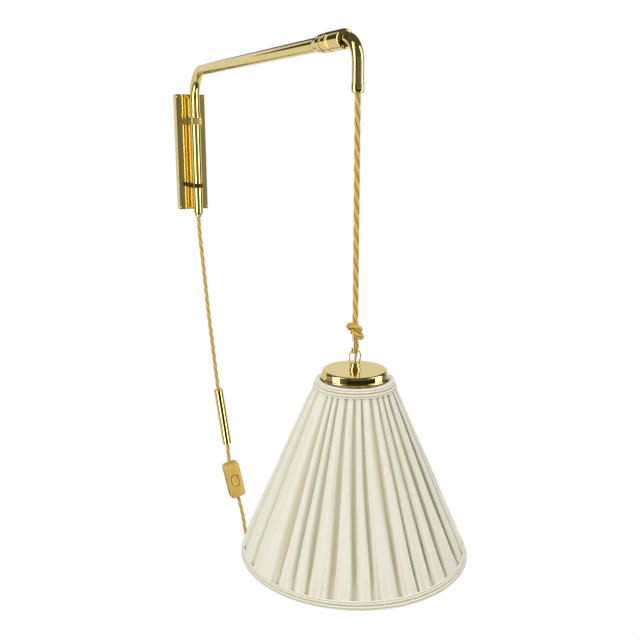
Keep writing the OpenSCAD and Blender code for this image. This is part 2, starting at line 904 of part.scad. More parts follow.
module mouth_ferrule() {
    outer = neck_r + mouth_t;
    color("gold")
        on_pendant()
            difference() {
                lathe([
                    [0, mouth_z], [outer - 1.6, mouth_z], [outer - 1.1, mouth_z + 0.35],
                    [outer - 0.6, mouth_z + 0.95], [outer - 0.25, mouth_z + 1.75],
                    [outer - 0.07, mouth_z + 2.7], [outer, mouth_z + 3.8],
                    [outer, mouth_z + mouth_h - 0.4], [outer - 0.3, mouth_z + mouth_h], [0, mouth_z + mouth_h]
                ]);
                translate([0, 0, mouth_z + mouth_lip])
                    cylinder(r = neck_r + seat_gap, h = mouth_h);
                translate([0, 0, mouth_z - 1])
                    cylinder(r = mouth_bore_r + 0.6, h = mouth_lip + 2);
            }
}

module mouth_bush() {
    bush_top = mouth_z + mouth_lip + 9;
    color("white")
        on_pendant()
            lathe([
                [mouth_bore_r, mouth_z + 0.3], [mouth_bore_r + 0.6 - seat_gap, mouth_z + 0.3],
                [mouth_bore_r + 0.6 - seat_gap, mouth_z + mouth_lip],
                [neck_in_r - seat_gap, mouth_z + mouth_lip + 0.1], [neck_in_r - seat_gap, bush_top],
                [mouth_bore_r, bush_top]
            ]);
}

module gooseneck_cord() {
    color("goldenrod") {
        on_arm()
            translate([0, 0, inner_s])
                cylinder(r = cord_r, h = goose_s - inner_s);
        translate([0, -tube_y - goose_s, arm_z])
            goose_cord_bend();
        on_pendant()
            translate([0, 0, swing_z + cord_r + cord_gap])
                cylinder(r = cord_r, h = arm_z - goose_r - swing_z - cord_r - cord_gap);
    }
}

module pendant_cord() {
    rings = 12;
    dome = [for (a = [15, 40, 65]) [swing_z + cord_r * cos(a), cord_r * sin(a)]];
    straight = [
        for (i = [0:rings]) [swing_z + (knot_top_z - swing_z) * i / rings, cord_r]
    ];
    line = concat(dome, straight);
    color("goldenrod")
        on_pendant()
            swept([for (q = line) [0, 0, q[0]]], [for (q = line) q[1]], 8);
}

module knot() {
    half = knot_half_route;
    n = len(half);
    turned = [for (i = [n - 1:-1:0]) [-half[i][0], half[i][1], -half[i][2]]];
    color("goldenrod")
        on_pendant()
            translate([0, 0, knot_z])
                rotate([0, 0, knot_turn]) {
                    cord_tube(half);
                    cord_tube(turned);
                }
}

module hanger_hook() {
    eye_r = cord_r + 0.2 + hook_wire_r;
    eye_z = knot_bottom_z - hook_wire_r - 0.8;
    side = -2.3;
    catch_z = bail_z + sqrt(bail_r * bail_r - side * side);
    bend_r = bail_wire_r + hook_wire_r + 0.4;
    shank = [
        [-eye_r, -0.7, eye_z - 0.2], [-eye_r, -0.9, eye_z - 2], [-eye_r + 0.9, -1.6, eye_z - 4],
        [side - 0.4, -2.2, eye_z - 6]
    ];
    bend = [
        for (a = [0:30:180]) [side, -bend_r * cos(a), catch_z - bend_r * sin(a)]
    ];
    tip = [[side, bend_r, catch_z + 1.8]];
    path = concat(shank, bend, tip);
    color("gold")
        on_pendant() {
            translate([0, 0, eye_z])
                rotate_extrude()
                    translate([eye_r, 0])
                        circle(r = hook_wire_r);
            swept(path, [for (q = path) hook_wire_r], 8, [1, 0, 0]);
        }
}

module cord_leg() {
    color("goldenrod")
        on_pendant()
            swept([for (q = leg_route) [q[0], q[1], q[2]]], [for (q = leg_route) q[3]], 8);
}

module bail_ring() {
    round_part = [
        for (i = [0:12]) let (a = -bail_lean + (180 + 2 * bail_lean) * i / 12)
            [bail_r * cos(a), 0, bail_z + bail_r * sin(a)]
    ];
    wire = concat([[bail_foot_x, 0, pivot_z]], round_part, [[-bail_foot_x, 0, pivot_z]]);
    color("gold")
        on_pendant() {
            swept(wire, [for (q = wire) bail_wire_r], 8);
            for (x = [-1, 1])
                translate([x * bail_foot_x, 0, pivot_z]) {
                    sphere(r = bail_ball_r);
                    rotate([0, -90 * x, 0])
                        cylinder(r = bail_wire_r, h = bail_pin_len);
                }
        }
}

module neck() {
    base_top = cap_z + neck_base_h;
    color("gold")
        on_pendant()
            difference() {
                lathe([
                    [0, cap_z], [neck_base_r, cap_z], [neck_base_r, base_top - 1.6],
                    [neck_base_r - 0.5, base_top - 1.4], [neck_base_r - 0.5, base_top - 1],
                    [neck_base_r - 0.1, base_top - 0.8], [neck_base_r - 0.1, base_top - 0.3],
                    [neck_base_r - 0.4, base_top], [neck_boss_r, base_top], [neck_boss_r, neck_boss_z - 0.5],
                    [neck_boss_r - 0.5, neck_boss_z], [0, neck_boss_z]
                ]);
                translate([0, 0, cap_z - 1])
                    cylinder(r = neck_bore_r, h = neck_boss_z - cap_z + 2);
                translate([0, 0, cap_z - 1])
                    cylinder(r = nipple_r + seat_gap, h = neck_base_h);
                translate([-neck_base_r - 1, 0, pivot_z])
                    rotate([0, 90, 0])
                        cylinder(r = bail_wire_r + run_gap, h = 2 * neck_base_r + 2);
            }
}

module cap() {
    outer = cap_r;
    low = cap_z - cap_h;
    color("gold")
        on_pendant()
            lathe([
                [nipple_r + seat_gap, cap_z], [outer - 0.8, cap_z], [outer, cap_z - 0.8], [outer, low],
                [outer + cap_lip, low - 0.4], [outer + cap_lip, low - 1], [outer - cap_t, low - 1],
                [outer - cap_t, cap_z - cap_t], [nipple_r + seat_gap, cap_z - cap_t]
            ]);
}

module nipple() {
    color("silver")
        on_pendant()
            hollow(nipple_r, nipple_bore_r, holder_z - 7, cap_z + neck_base_h - 1.2);
}

module spacer_sleeve() {
    color("gainsboro")
        on_pendant()
            hollow(nipple_r + 2.5, nipple_r + seat_gap, spacer_z, cap_z - cap_t);
}

module spider() {
    color("gainsboro")
        on_pendant()
            difference() {
                union() {
                    translate([0, 0, spider_z])
                        cylinder(r = spider_hub_r, h = spider_t);
                    for (i = [0:spider_arms - 1])
                        rotate([0, 0, 360 * i / spider_arms + 30])
                            translate([0, -spider_arm_w / 2, spider_z])
                                cube([top_ring_r, spider_arm_w, spider_t]);
                }
                translate([0, 0, spider_z - 1])
                    cylinder(r = nipple_r + seat_gap, h = spider_t + 2);
            }
}

module lock_nut() {
    color("silver")
        on_pendant()
            translate([0, 0, lock_nut_z])
                difference() {
                    cylinder(d = lock_nut_af / cos(30), h = lock_nut_h, $fn = 6);
                    translate([0, 0, -1])
                        cylinder(r = nipple_r + seat_gap, h = lock_nut_h + 2);
                }
}

module wire_ring(ring_r, z) {
    on_pendant()
        translate([0, 0, z])
            rotate_extrude()
                translate([ring_r, 0])
                    circle(r = ring_wire_r);
}

module top_ring() {
    color("white")
        wire_ring(top_ring_r, top_ring_z);
}

module bottom_ring() {
    color("white")
        wire_ring(bottom_ring_r, bottom_ring_z);
}

module shade_ribs() {
    // Each rib stops just short of the rings that it is soldered to
    run = (top_ring_z - bottom_ring_z) / cos(frame_lean);
    short = ring_wire_r + 0.05;
    color("white")
        on_pendant()
            for (i = [0:ribs - 1])
                rotate([0, 0, 360 * (i + 0.5) / ribs])
                    translate([top_ring_r, 0, top_ring_z])
                        rotate([0, 180 - frame_lean, 0])
                            translate([0, 0, short])
                                cylinder(r = rib_r, h = run - 2 * short);
}

// The pleated cover is one closed shell of four levels outside and two inside
module shade_cover() {
    n = pleats * 6;
    levels = [
        [shade_top_z, 0], [shade_top_z - top_trim_h - 1, pleat_top],
        [shade_bottom_z + 2.4 * bottom_trim_h, pleat_bottom], [shade_bottom_z, 0]
    ];
    inside = [for (l = [3, 0]) [levels[l][0], frame_r(levels[l][0]) + fabric_clear / cos(frame_lean)]];
    outer = [
        for (l = levels) for (i = [0:n - 1]) let (a = 360 * i / n)
            ring_point(a, fabric_r(l[0]) + l[1] * pleat_wave(a), l[0])
    ];
    inner = [for (l = inside) for (i = [0:n - 1]) ring_point(360 * i / n, l[1], l[0])];
    rows = len(levels) + len(inside);
    faces = [
        for (l = [0:rows - 1]) for (i = [0:n - 1])
            let (k = (i + 1) % n, a = l * n, b = ((l + 1) % rows) * n)
                each [[a + i, a + k, b + k], [a + i, b + k, b + i]]
    ];
    color("ivory")
        on_pendant()
            polyhedron(points = concat(outer, inner), faces = faces);
}

function ring_point(a, r, z) = [r * cos(a), r * sin(a), z];
// Main pleats with a slower unevenness, between -1 and 1
function pleat_wave(a) = 0.8 * cos(pleats * a) + 0.2 * sin(7 * a);

module shade_lining() {
    side = rib_r + 0.3;
    top = top_ring_z - ring_wire_r - 0.8;
    low = bottom_ring_z + ring_wire_r + 0.8;
    out = side / cos(frame_lean);
    in = (side + lining_t) / cos(frame_lean);
    color("white")
        on_pendant()
            lathe([
                [frame_r(top) - out, top], [frame_r(low) - out, low], [frame_r(low) - in, low],
                [frame_r(top) - in, top]
            ]);
}

// A band round the fabric with a bead of piping at each edge
module trim(z_high, z_low) {
    inner = trim_clear / cos(fabric_lean);
    outer = (trim_clear + trim_t) / cos(fabric_lean);
    bead = outer + piping_r + 0.4;
    on_pendant()
        lathe([
            [fabric_r(z_high) + inner, z_high], [fabric_r(z_high) + outer + 0.3, z_high],
            [fabric_r(z_high) + bead, z_high - 0.6 * piping_r], [fabric_r(z_high) + bead, z_high - 1.3 * piping_r],
            [fabric_r(z_high - 2 * piping_r) + outer, z_high - 2 * piping_r],
            [fabric_r(z_low + 2 * piping_r) + outer, z_low + 2 * piping_r],
            [fabric_r(z_low) + bead, z_low + 1.3 * piping_r], [fabric_r(z_low) + bead, z_low + 0.6 * piping_r],
            [fabric_r(z_low) + outer + 0.3, z_low], [fabric_r(z_low) + inner, z_low]
        ]);
}

module top_trim() {
    color("beige")
        trim(shade_top_z, shade_top_z - top_trim_h);
}

module bottom_trim() {
    color("beige")
        trim(shade_bottom_z + bottom_trim_h, shade_bottom_z);
}

module lampholder() {
    inner = holder_r - holder_t;
    low = shell_z - holder_shell_h;
    color("gold")
        on_pendant()
            difference() {
                lathe([
                    [nipple_r + seat_gap, holder_z], [nipple_r + 2.5, holder_z], [nipple_r + 2.5, holder_z - 7],
                    [holder_r - 6, holder_z - 10], [holder_r - 1, holder_z - 15], [holder_r, shell_z],
                    [holder_r, low], [inner, low], [inner, shell_z], [inner - 1, holder_z - 15.5],
                    [holder_r - 7, holder_z - 11.5], [nipple_r + seat_gap, holder_z - 8.5]
                ]);
                translate([0, 0, holder_z - 30])
                    cylinder(r = nipple_r + seat_gap, h = 31);
            }
}

module holder_insert() {
    color("white")
        on_pendant()
            difference() {
                union() {
                    translate([0, 0, shell_z - insert_h])
                        cylinder(r = holder_r - holder_t - 0.3, h = insert_h);
                    hollow(
                        holder_r - holder_t - 0.3, bulb_cap_r + 0.35,
                        shell_z - holder_shell_h + 1, shell_z - insert_h + 0.5
                    );
                }
                translate([0, 0, shell_z - insert_h - 1])
                    cylinder(r = bulb_cap_r + 0.35, h = 6);
                translate([0, 0, shell_z - insert_h])
                    cylinder(r = cord_r - 1.9, h = insert_h + 1);
            }
}

module bulb() {
    screw_low = bulb_top_z - 24;
    globe_z = bulb_crown_z + bulb_r;
    color("ivory")
        on_pendant() {
            lathe([
                [0, bulb_top_z], [4, bulb_top_z], [4, bulb_top_z - 1.6], [bulb_cap_r - 4, bulb_top_z - 3],
                [bulb_cap_r, bulb_top_z - 5], [bulb_cap_r, screw_low], [bulb_cap_r + 1, screw_low - 4],
                [bulb_r * 0.75, globe_z + bulb_r * 0.6], [0, globe_z]
            ]);
            translate([0, 0, globe_z])
                sphere(r = bulb_r);
        }
}

module holder_cord() {
    color("goldenrod")
        on_pendant()
            translate([0, 0, shell_z + 0.4])
                cylinder(r = 1, h = pivot_z - 0.6 - shell_z - 0.4);
}

module lead_upper() {
    color("goldenrod")
        cord_tube(flat_route(upper_route, lead_y));
}

// Local Z runs up along a piece that hangs on the lead, from its top end
module on_lead(top, tilt) {
    translate([top[0], -lead_y, top[1]])
        rotate([0, -tilt, 0])
            children();
}

module counterweight() {
    color("gold")
        on_lead(weight_top, weight_tilt)
            difference() {
                translate([0, 0, -weight_len])
                    cylinder(r = weight_r, h = weight_len);
                translate([0, 0, -weight_plug_t])
                    cylinder(r = weight_r - weight_wall, h = weight_plug_t + 1);
                translate([0, 0, -weight_len - 1])
                    cylinder(r = weight_r - weight_wall, h = weight_plug_t + 1);
                translate([0, 0, -weight_len])
                    cylinder(r = cord_r + 0.2, h = weight_len);
                translate([0, 0, -weight_len / 2])
                    rotate([0, 90, 0])
                        cylinder(r = weight_screw_r, h = weight_r + 1);
            }
}

module weight_plugs() {
    color("goldenrod")
        on_lead(weight_top, weight_tilt)
            for (z = [-weight_plug_t, -weight_len])
                hollow(weight_r - weight_wall - seat_gap, cord_r + 0.2, z, z + weight_plug_t);
}

module lead_middle() {
    color("goldenrod")
        cord_tube(flat_route(middle_route, lead_y));
}

// The switch's outline at a distance inside its skin, between two depths, hanging down local Z
module switch_slab(inset, y_low, y_high) {
    translate([0, y_high, -switch_len / 2])
        rotate([90, 0, 0])
            linear_extrude(y_high - y_low)
                rounded_rect(switch_w - 2 * inset, switch_len - 2 * inset, switch_round - inset);
}

module chamfered(w, h, c) {
    polygon([
        [-w / 2 + c, -h / 2], [w / 2 - c, -h / 2], [w / 2, -h / 2 + c], [w / 2, h / 2 - c],
        [w / 2 - c, h / 2], [-w / 2 + c, h / 2], [-w / 2, h / 2 - c], [-w / 2, -h / 2 + c]
    ]);
}

// The switch's shells between two depths, chamfered along all edges and hollow
module switch_shell(y_low, y_high) {
    difference() {
        intersection() {
            switch_slab(0, y_low, y_high);
            translate([0, 0, -switch_len])
                linear_extrude(switch_len)
                    chamfered(switch_w, switch_t, switch_chamfer);
            translate([-switch_w / 2, 0, -switch_len / 2])
                rotate([90, 0, 90])
                    linear_extrude(switch_w)
                        chamfered(switch_t, switch_len, switch_chamfer);
        }
        switch_slab(switch_wall, max(y_low, -switch_t / 2 + switch_wall) - 0.01, min(y_high, switch_t / 2 - switch_wall));
    }
}

module switch_front() {
    color("gold")
        on_lead(switch_top, switch_tilt)
            difference() {
                switch_shell(-switch_t / 2, 0);
                translate([0, 0, -switch_len / 2])
                    rotate([90, 0, 0])
                        linear_extrude(switch_t)
                            oval(rocker_w + 2 * rocker_gap, rocker_len + 2 * rocker_gap);
            }
}

module switch_back() {
    color("gold")
        on_lead(switch_top, switch_tilt)
            switch_shell(0.05, switch_t / 2);
}

module switch_contacts() {
    back = switch_t / 2 - switch_wall - 0.05;
    lug = rocker_w / 2 + 0.4;
    color("silver")
        on_lead(switch_top, switch_tilt)
            difference() {
                union() {
                    translate([-switch_w / 2 + switch_wall + 0.1, back - 4, -switch_len / 2 - 22])
                        cube([switch_w - 2 * switch_wall - 0.2, 4, 44]);
                    // Two ears that carry the rocker's axle
                    for (x = [-1, 1])
                        translate([x * (lug + 1) - 1, -2, -switch_len / 2 - 2.5])
                            cube([2, back - 1, 5]);
                }
                translate([-switch_w / 2, 0, -switch_len / 2])
                    rotate([0, 90, 0])
                        cylinder(r = rocker_axle_r + run_gap, h = switch_w);
            }
}

module switch_rocker() {
    out = 1.4;
    back = switch_t / 2 - 7.6;
    color("gold")
        on_lead(switch_top, switch_tilt) {
            translate([0, back, -switch_len / 2])
                rotate([90, 0, 0])
                    linear_extrude(switch_t / 2 + out + back)
                        oval(rocker_w, rocker_len - 3);
            translate([-rocker_w / 2 - 2.2, 0, -switch_len / 2])
                rotate([0, 90, 0])
                    cylinder(r = rocker_axle_r, h = rocker_w + 4.4);
        }
}

module lead_lower() {
    color("goldenrod")
        cord_tube(flat_route(lower_route, lead_y));
}

// The coil winds inwards in its front layer and outwards in its back layer. t counts turns.
function coil_radius(t) = coil_r - coil_step * min(t, coil_turns - t);
function coil_back(t) = coil_step * min(1, max(0, 0.5 + (t - coil_turns / 2) / 0.5));
function coil_point(t) = [
    coil_centre[0] + coil_radius(t) * cos(360 * t - 90),
    -lead_y + coil_back(t),
    coil_centre[1] + coil_radius(t) * sin(360 * t - 90)
];
coil_path = concat(
    [[coil_centre[0] - cord_d, -lead_y, coil_centre[1] - coil_r]],
    [for (i = [0:coil_turns * coil_rings]) coil_point(i / coil_rings)],
    [[coil_centre[0] + coil_r, -lead_y + coil_step, coil_centre[1] + cord_d]]
);
coil_gap = min([
    for (i = [0:len(coil_path) - 1]) for (j = [i + coil_rings / 2:len(coil_path) - 1])
        norm(coil_path[i] - coil_path[j])
]) - cord_d;
echo(coil_gap = coil_gap);

module lead_coil() {
    color("goldenrod")
        cord_tube(coil_path, coil_sides);
}

// A band round the coil's turns at the coil's top
module coil_tie() {
    // The turns' innermost and outermost edges and their depth, in the two layers
    inner_edge = coil_r - coil_step * coil_turns / 2 - cord_r - tie_gap;
    outer_edge = coil_r + cord_r + tie_gap;
    deep = coil_step + cord_d + 2 * tie_gap;
    color("saddlebrown")
        translate([coil_centre[0] - tie_w / 2, -lead_y + coil_step / 2, coil_centre[1] + (inner_edge + outer_edge) / 2])
            rotate([90, 0, 90])
                linear_extrude(tie_w)
                    difference() {
                        rounded_rect(deep + 2 * tie_t, outer_edge - inner_edge + 2 * tie_t, 3 + tie_t);
                        rounded_rect(deep, outer_edge - inner_edge, 3);
                    }
}

module lead_tail() {
    color("goldenrod")
        cord_tube(flat_route(tail_route, lead_y - coil_step));
}

// Local Z runs up along the plug from its strain relief's top
module on_plug() {
    translate([plug_top[0], -lead_y + coil_step, plug_top[1]])
        children();
}

module plug_boot() {
    color("goldenrod")
        on_plug()
            lathe([
                [0, 0], [cord_r + 0.6, 0], [cord_r + 0.9, -1], [cord_r + 2.4, -boot_len], [0, -boot_len]
            ]);
}

module plug_body() {
    color("gold")
        on_plug()
            translate([0, 0, -boot_len - plug_len])
                difference() {
                    linear_extrude(plug_len)
                        polygon([
                            [-plug_w / 2, 0], [-plug_w / 2 + plug_t / 2, -plug_t / 2],
                            [plug_w / 2 - plug_t / 2, -plug_t / 2], [plug_w / 2, 0],
                            [plug_w / 2 - plug_t / 2, plug_t / 2], [-plug_w / 2 + plug_t / 2, plug_t / 2]
                        ]);
                    for (x = [-1, 1])
                        translate([x * plug_pin_gap / 2, 0, -1])
                            cylinder(r = plug_pin_r + seat_gap, h = 9);
                }
}

module plug_pins() {
    color("silver")
        on_plug()
            for (x = [-1, 1])
                translate([x * plug_pin_gap / 2, 0, -boot_len - plug_len - plug_pin_len]) {
                    translate([0, 0, plug_pin_r / 2])
                        cylinder(r = plug_pin_r, h = plug_pin_len + 7.5 - plug_pin_r / 2);
                    cylinder(r1 = plug_pin_r / 2, r2 = plug_pin_r, h = plug_pin_r / 2);
                }
}

wall_box();
cover_plate();
corner_screws();
lower_strap();
upper_strap();
lower_saddle();
upper_saddle();
saddle_screws();
arm_tube();
stop_ring();
foot_ferrule();
foot_screw();
foot_bush();
arm_cord();
arm_collar();
collet();
grip_ring();
clamp_nut();
guide_bush();
gooseneck();
mouth_ferrule();
mouth_bush();
gooseneck_cord();
pendant_cord();
knot();
hanger_hook();
cord_leg();
bail_ring();
neck();
cap();
nipple();
spacer_sleeve();
spider();
lock_nut();
top_ring();
bottom_ring();
shade_ribs();
shade_cover();
shade_lining();
top_trim();
bottom_trim();
lampholder();
holder_insert();
bulb();
holder_cord();
lead_upper();
counterweight();
weight_plugs();
lead_middle();
switch_front();
switch_back();
switch_contacts();
switch_rocker();
lead_lower();
lead_coil();
coil_tie();
lead_tail();
plug_boot();
plug_body();
plug_pins();
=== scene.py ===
# %% [markdown]
# # A brass wall lamp with a hanging pleated shade
# This lesson dresses the frame of an adjustable wall lamp: a narrow brass box on the wall, an arm that swings and
# slides, a gold cord that hangs from the arm's end, and a pleated ivory shade on it. The frame gives the bodies
# that move. Each piece that the eye sees is modelled again here with smooth surfaces, and rides on its body.

# %% Open the frame
import math
import bmesh
import bpy
from mathutils import Matrix, Vector, noise


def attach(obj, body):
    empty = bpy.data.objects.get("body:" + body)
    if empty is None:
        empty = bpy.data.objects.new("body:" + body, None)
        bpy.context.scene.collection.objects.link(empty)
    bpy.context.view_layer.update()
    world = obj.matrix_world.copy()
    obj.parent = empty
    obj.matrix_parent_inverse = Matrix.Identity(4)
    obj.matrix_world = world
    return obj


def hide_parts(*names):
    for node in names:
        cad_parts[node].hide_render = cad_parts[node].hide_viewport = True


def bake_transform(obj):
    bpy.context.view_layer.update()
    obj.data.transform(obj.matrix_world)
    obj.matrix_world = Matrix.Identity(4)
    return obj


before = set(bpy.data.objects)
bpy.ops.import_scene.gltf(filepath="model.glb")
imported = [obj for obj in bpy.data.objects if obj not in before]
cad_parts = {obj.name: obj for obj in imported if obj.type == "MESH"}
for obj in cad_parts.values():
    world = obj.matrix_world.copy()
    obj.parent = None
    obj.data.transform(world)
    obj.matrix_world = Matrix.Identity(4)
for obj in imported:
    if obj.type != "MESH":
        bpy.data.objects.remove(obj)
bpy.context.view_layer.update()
scene = bpy.context.scene

# %% [markdown]
# ## The camera
# The lamp hangs on a wall at y = 0 and reaches towards -Y. The camera stands a little to the left of the arm's end,
# at the height of the wall box's middle, and looks slightly down. Its place was found by matching the corners of the
# wall box, the arm's end and the rims of the shade, so every piece lands where the picture has it.

# %% Camera
lens_data = bpy.data.cameras.new("camera")
lens_data.lens = 45.483
lens_data.sensor_width = 36.0
lens_data.clip_end = 50.0
camera = bpy.data.objects.new("camera", lens_data)
scene.collection.objects.link(camera)
camera.location = (-0.3738, -1.3037, 0.03775)
camera.rotation_euler = (math.radians(76.667), 0.0, math.radians(-24.968))
scene.camera = camera
print("camera at", tuple(camera.location))

# %% [markdown]
# ## Measures and places
# The lamp is measured in millimetres, as its maker would, and each finished mesh is scaled to metres in one go.
# The wall tube stands 38 mm in front of the wall, and the cord hangs 549 mm further out. A few matrices carry a
# piece from its own axis to the tube, to the arm, to the hanging cord, or to the tilted weight and switch.

# %% Measures
TUBE_Y = -38.0
PENDANT_Y = -587.0
ARM_Z = 123.0
FOOT_Z = -92.0
LEAD_Y = -38.0
ELBOW_R = 44.0
GOOSE_R = 25.0
GOOSE_START_Y = TUBE_Y - 300.0
GOOSE_BEND_Y = TUBE_Y - 524.0
KNOT_Z = -164.7
RING_Z = -191.8
RING_R = 6.5
RING_FOOT_Z = -200.7
COIL_X, COIL_Z, COIL_R = 153.2, -690.0, 46.0
COIL_TURNS = 6.25
COIL_STEP = 6.8
CORD_R = 3.1
MM = 0.001


def move(x, y, z):
    """The matrix that moves a piece."""
    return Matrix.Translation((x, y, z))


def rotate(degrees, axis):
    """The matrix that turns a piece round X, Y or Z."""
    return Matrix.Rotation(math.radians(degrees), 4, axis)


def polar(radius, degrees):
    """The two coordinates of a point on a circle."""
    return radius * math.cos(math.radians(degrees)), radius * math.sin(math.radians(degrees))


def on_lead(x, z, tilt):
    """The place of a piece whose top hangs at x, z on the lead, with its foot swung out by tilt degrees."""
    return move(x, LEAD_Y, z) @ rotate(-tilt, "Y")


on_tube = move(0, TUBE_Y, 0)
on_arm = move(0, TUBE_Y, ARM_Z) @ rotate(90, "X")
on_pendant = move(0, PENDANT_Y, 0)
on_weight = on_lead(24.2, -396.0, 7.4)
on_switch = on_lead(41.0, -533.0, 11.5)
on_plug = move(251.2, LEAD_Y + COIL_STEP, -684.0)
print("pendant axis at", on_pendant.translation)

# %% [markdown]
# ## From a bmesh to a piece
# Every shape starts as a bmesh. `keep` merges its doubles, turns its normals outwards, scales it to metres and makes
# the object. The object itself stays at the origin, so patterns on object coordinates never slide. Edges sharper
# than a given angle stay crisp, and the rest is shaded smooth, as on a polished turned part.

# %% Finish a piece
def moved(bm, place):
    """Carry a whole bmesh by a matrix."""
    bmesh.ops.transform(bm, matrix=place, verts=bm.verts)
    return bm


def shifted(bm, made, vec):
    """Move the points that an extrusion made."""
    bmesh.ops.translate(bm, vec=vec, verts=[g for g in made if isinstance(g, bmesh.types.BMVert)])


def outwards(bm, y=0.0):
    """Turn the faces of an open sheet away from the upright axis at y."""
    bmesh.ops.recalc_face_normals(bm, faces=bm.faces)
    if sum(f.normal.xy.dot(f.calc_center_median().xy - Vector((0, y))) for f in bm.faces) < 0:
        bmesh.ops.reverse_faces(bm, faces=bm.faces)


def merged(bm):
    """Merge doubles and turn the normals outwards."""
    bmesh.ops.remove_doubles(bm, verts=bm.verts, dist=1e-4)
    bmesh.ops.recalc_face_normals(bm, faces=bm.faces)
    return bm


def joined(*parts):
    """Put several bmeshes in one."""
    whole = bmesh.new()
    for part in parts:
        scratch = bpy.data.meshes.new("part")
        part.to_mesh(scratch)
        whole.from_mesh(scratch)
        bpy.data.meshes.remove(scratch)
        part.free()
    return whole


def keep(bm, name, material, place=None, crisp=35.0, merge=True):
    """Turn a bmesh in millimetres into a finished object in metres."""
    if merge:
        merged(bm)
    if place is not None:
        moved(bm, place)
    bmesh.ops.scale(bm, vec=(MM, MM, MM), verts=bm.verts)
    mesh = bpy.data.meshes.new(name)
    bm.to_mesh(mesh)
    bm.free()
    mesh.shade_smooth()
    mesh.set_sharp_from_angle(angle=math.radians(crisp))
    mesh.materials.append(material)
    piece = bpy.data.objects.new("fine_" + name, mesh)
    scene.collection.objects.link(piece)
    print(name, len(mesh.vertices), "vertices")
    return piece


def fit(piece, body, finish, *nodes):
    """Let a piece ride on its body and hide the frame's own nodes that it stands for. The finish is not used."""
    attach(piece, body)
    if nodes:
        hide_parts(*nodes)
    return piece


# %% [markdown]
# ## Turning, bending and pressing
# Most of the lamp is turned or bent brass. A turned part is a line of points round Z, spun once. Its corners are
# eased first, because a polished edge always shows a thin highlight. A tube is a circle that is extruded and spun
# through its bends, as a pipe bender does it.

# %% Turned parts
def eased(profile, radius, steps=3, closed=False):
    """Round the corners of a line of (r, z) points, each by at most the given radius."""
    points = [Vector(p) for p in profile]
    count = len(points)
    out = []
    for i, here in enumerate(points):
        if not closed and i in (0, count - 1):
            out.append(here)
            continue
        before = points[i - 1] - here
        after = points[(i + 1) % count] - here
        if before.length < 1e-6 or after.length < 1e-6:
            continue
        reach = min(radius, 0.45 * before.length, 0.45 * after.length)
        start = here + before.normalized() * reach
        end = here + after.normalized() * reach
        for k in range(steps + 1):
            t = k / steps
            out.append((1 - t) ** 2 * start + 2 * t * (1 - t) * here + t * t * end)
    return [(p[0], p[1]) for p in out]


def spun(bm, geom, degrees, steps, centre=(0, 0, 0), axis=(0, 0, 1), merge=False):
    """Spin some geometry round an axis, and hand back what lies at the end."""
    return bmesh.ops.spin(bm, geom=geom, cent=centre, axis=axis, angle=math.radians(degrees), steps=steps,
                          use_merge=merge, use_normal_flip=False, use_duplicate=False)["geom_last"]


def turned(profile, closed=False, steps=96):
    """Spin a line of (r, z) points once round Z."""
    bm = bmesh.new()
    verts = [bm.verts.new((r, 0.0, z)) for r, z in profile]
    edges = [bm.edges.new(pair) for pair in zip(verts, verts[1:])]
    if closed:
        edges.append(bm.edges.new((verts[-1], verts[0])))
    spun(bm, verts + edges, 360, steps, merge=True)
    return merged(bm)


def lathed(name, line, ease, material, place, steps=96, crisp=35.0):
    """Ease the corners of a closed line of (r, z) points, spin it round Z and keep the piece."""
    line = eased(line, ease, closed=True) if ease else line
    return keep(turned(line, closed=True, steps=steps), name, material, place, crisp)


def ring_section(radius, z, wire, steps=16):
    """The closed section of a round ring, for turned()."""
    return [(radius + out, z + up) for out, up in (polar(wire, 360 * k / steps) for k in range(steps))]


# %% Tubes and sweeps
def next_ring(bm, ring):
    """Extrude a ring of edges and hand back the new ring, in the same order."""
    edges = [bm.edges.get((a, b)) for a, b in zip(ring, ring[1:] + ring[:1])]
    made = bmesh.ops.extrude_edge_only(bm, edges=edges)["geom"]
    new = {v for v in made if isinstance(v, bmesh.types.BMVert)}
    return [next(e.other_vert(v) for e in v.link_edges if e.other_vert(v) in new) for v in ring]


def first_ring(bm, count):
    """A circle of the given count, as a list in order."""
    return list(bmesh.ops.create_circle(bm, segments=count, radius=1.0)["verts"])


def stacked(sections, caps=True):
    """A body through matching sections: each new one is the last one extruded and set in its place."""
    bm = bmesh.new()
    ring = start = first_ring(bm, len(sections[0]))
    for i, section in enumerate(sections):
        if i:
            ring = next_ring(bm, ring)
        for vert, place in zip(ring, section):
            vert.co = place
    if caps:
        bmesh.ops.contextual_create(bm, geom=start)
        bmesh.ops.contextual_create(bm, geom=ring)
    return bm


def frames_along(route, first):
    """At each point of a route: the point, and two directions square to the route that don't twist."""
    out = []
    side = Vector(first)
    for i, here in enumerate(route):
        ahead = (route[min(i + 1, len(route) - 1)] - route[max(i - 1, 0)]).normalized()
        side = (side - side.dot(ahead) * ahead).normalized()
        out.append((here, side, ahead.cross(side)))
    return out


def swept(route, section, sides, first=(0, 1, 0)):
    """Carry a section along a route. section(i, k) gives the radius and the angle at point i and side k."""
    sections = []
    for i, (here, u, v) in enumerate(frames_along([Vector(p) for p in route], first)):
        around = [section(i, k) for k in range(sides)]
        sections.append([here + radius * (math.cos(angle) * u + math.sin(angle) * v) for radius, angle in around])
    return stacked(sections)


def round_wire(route, radius, sides=16, first=(0, 1, 0)):
    """A plain round wire along a route."""
    return swept(route, lambda i, k: (radius, 2 * math.pi * k / sides), sides, first)


def reach_along(route):
    """How far along a route each of its points lies."""
    reach = [0.0]
    for a, b in zip(route, route[1:]):
        reach.append(reach[-1] + (b - a).length)
    return reach


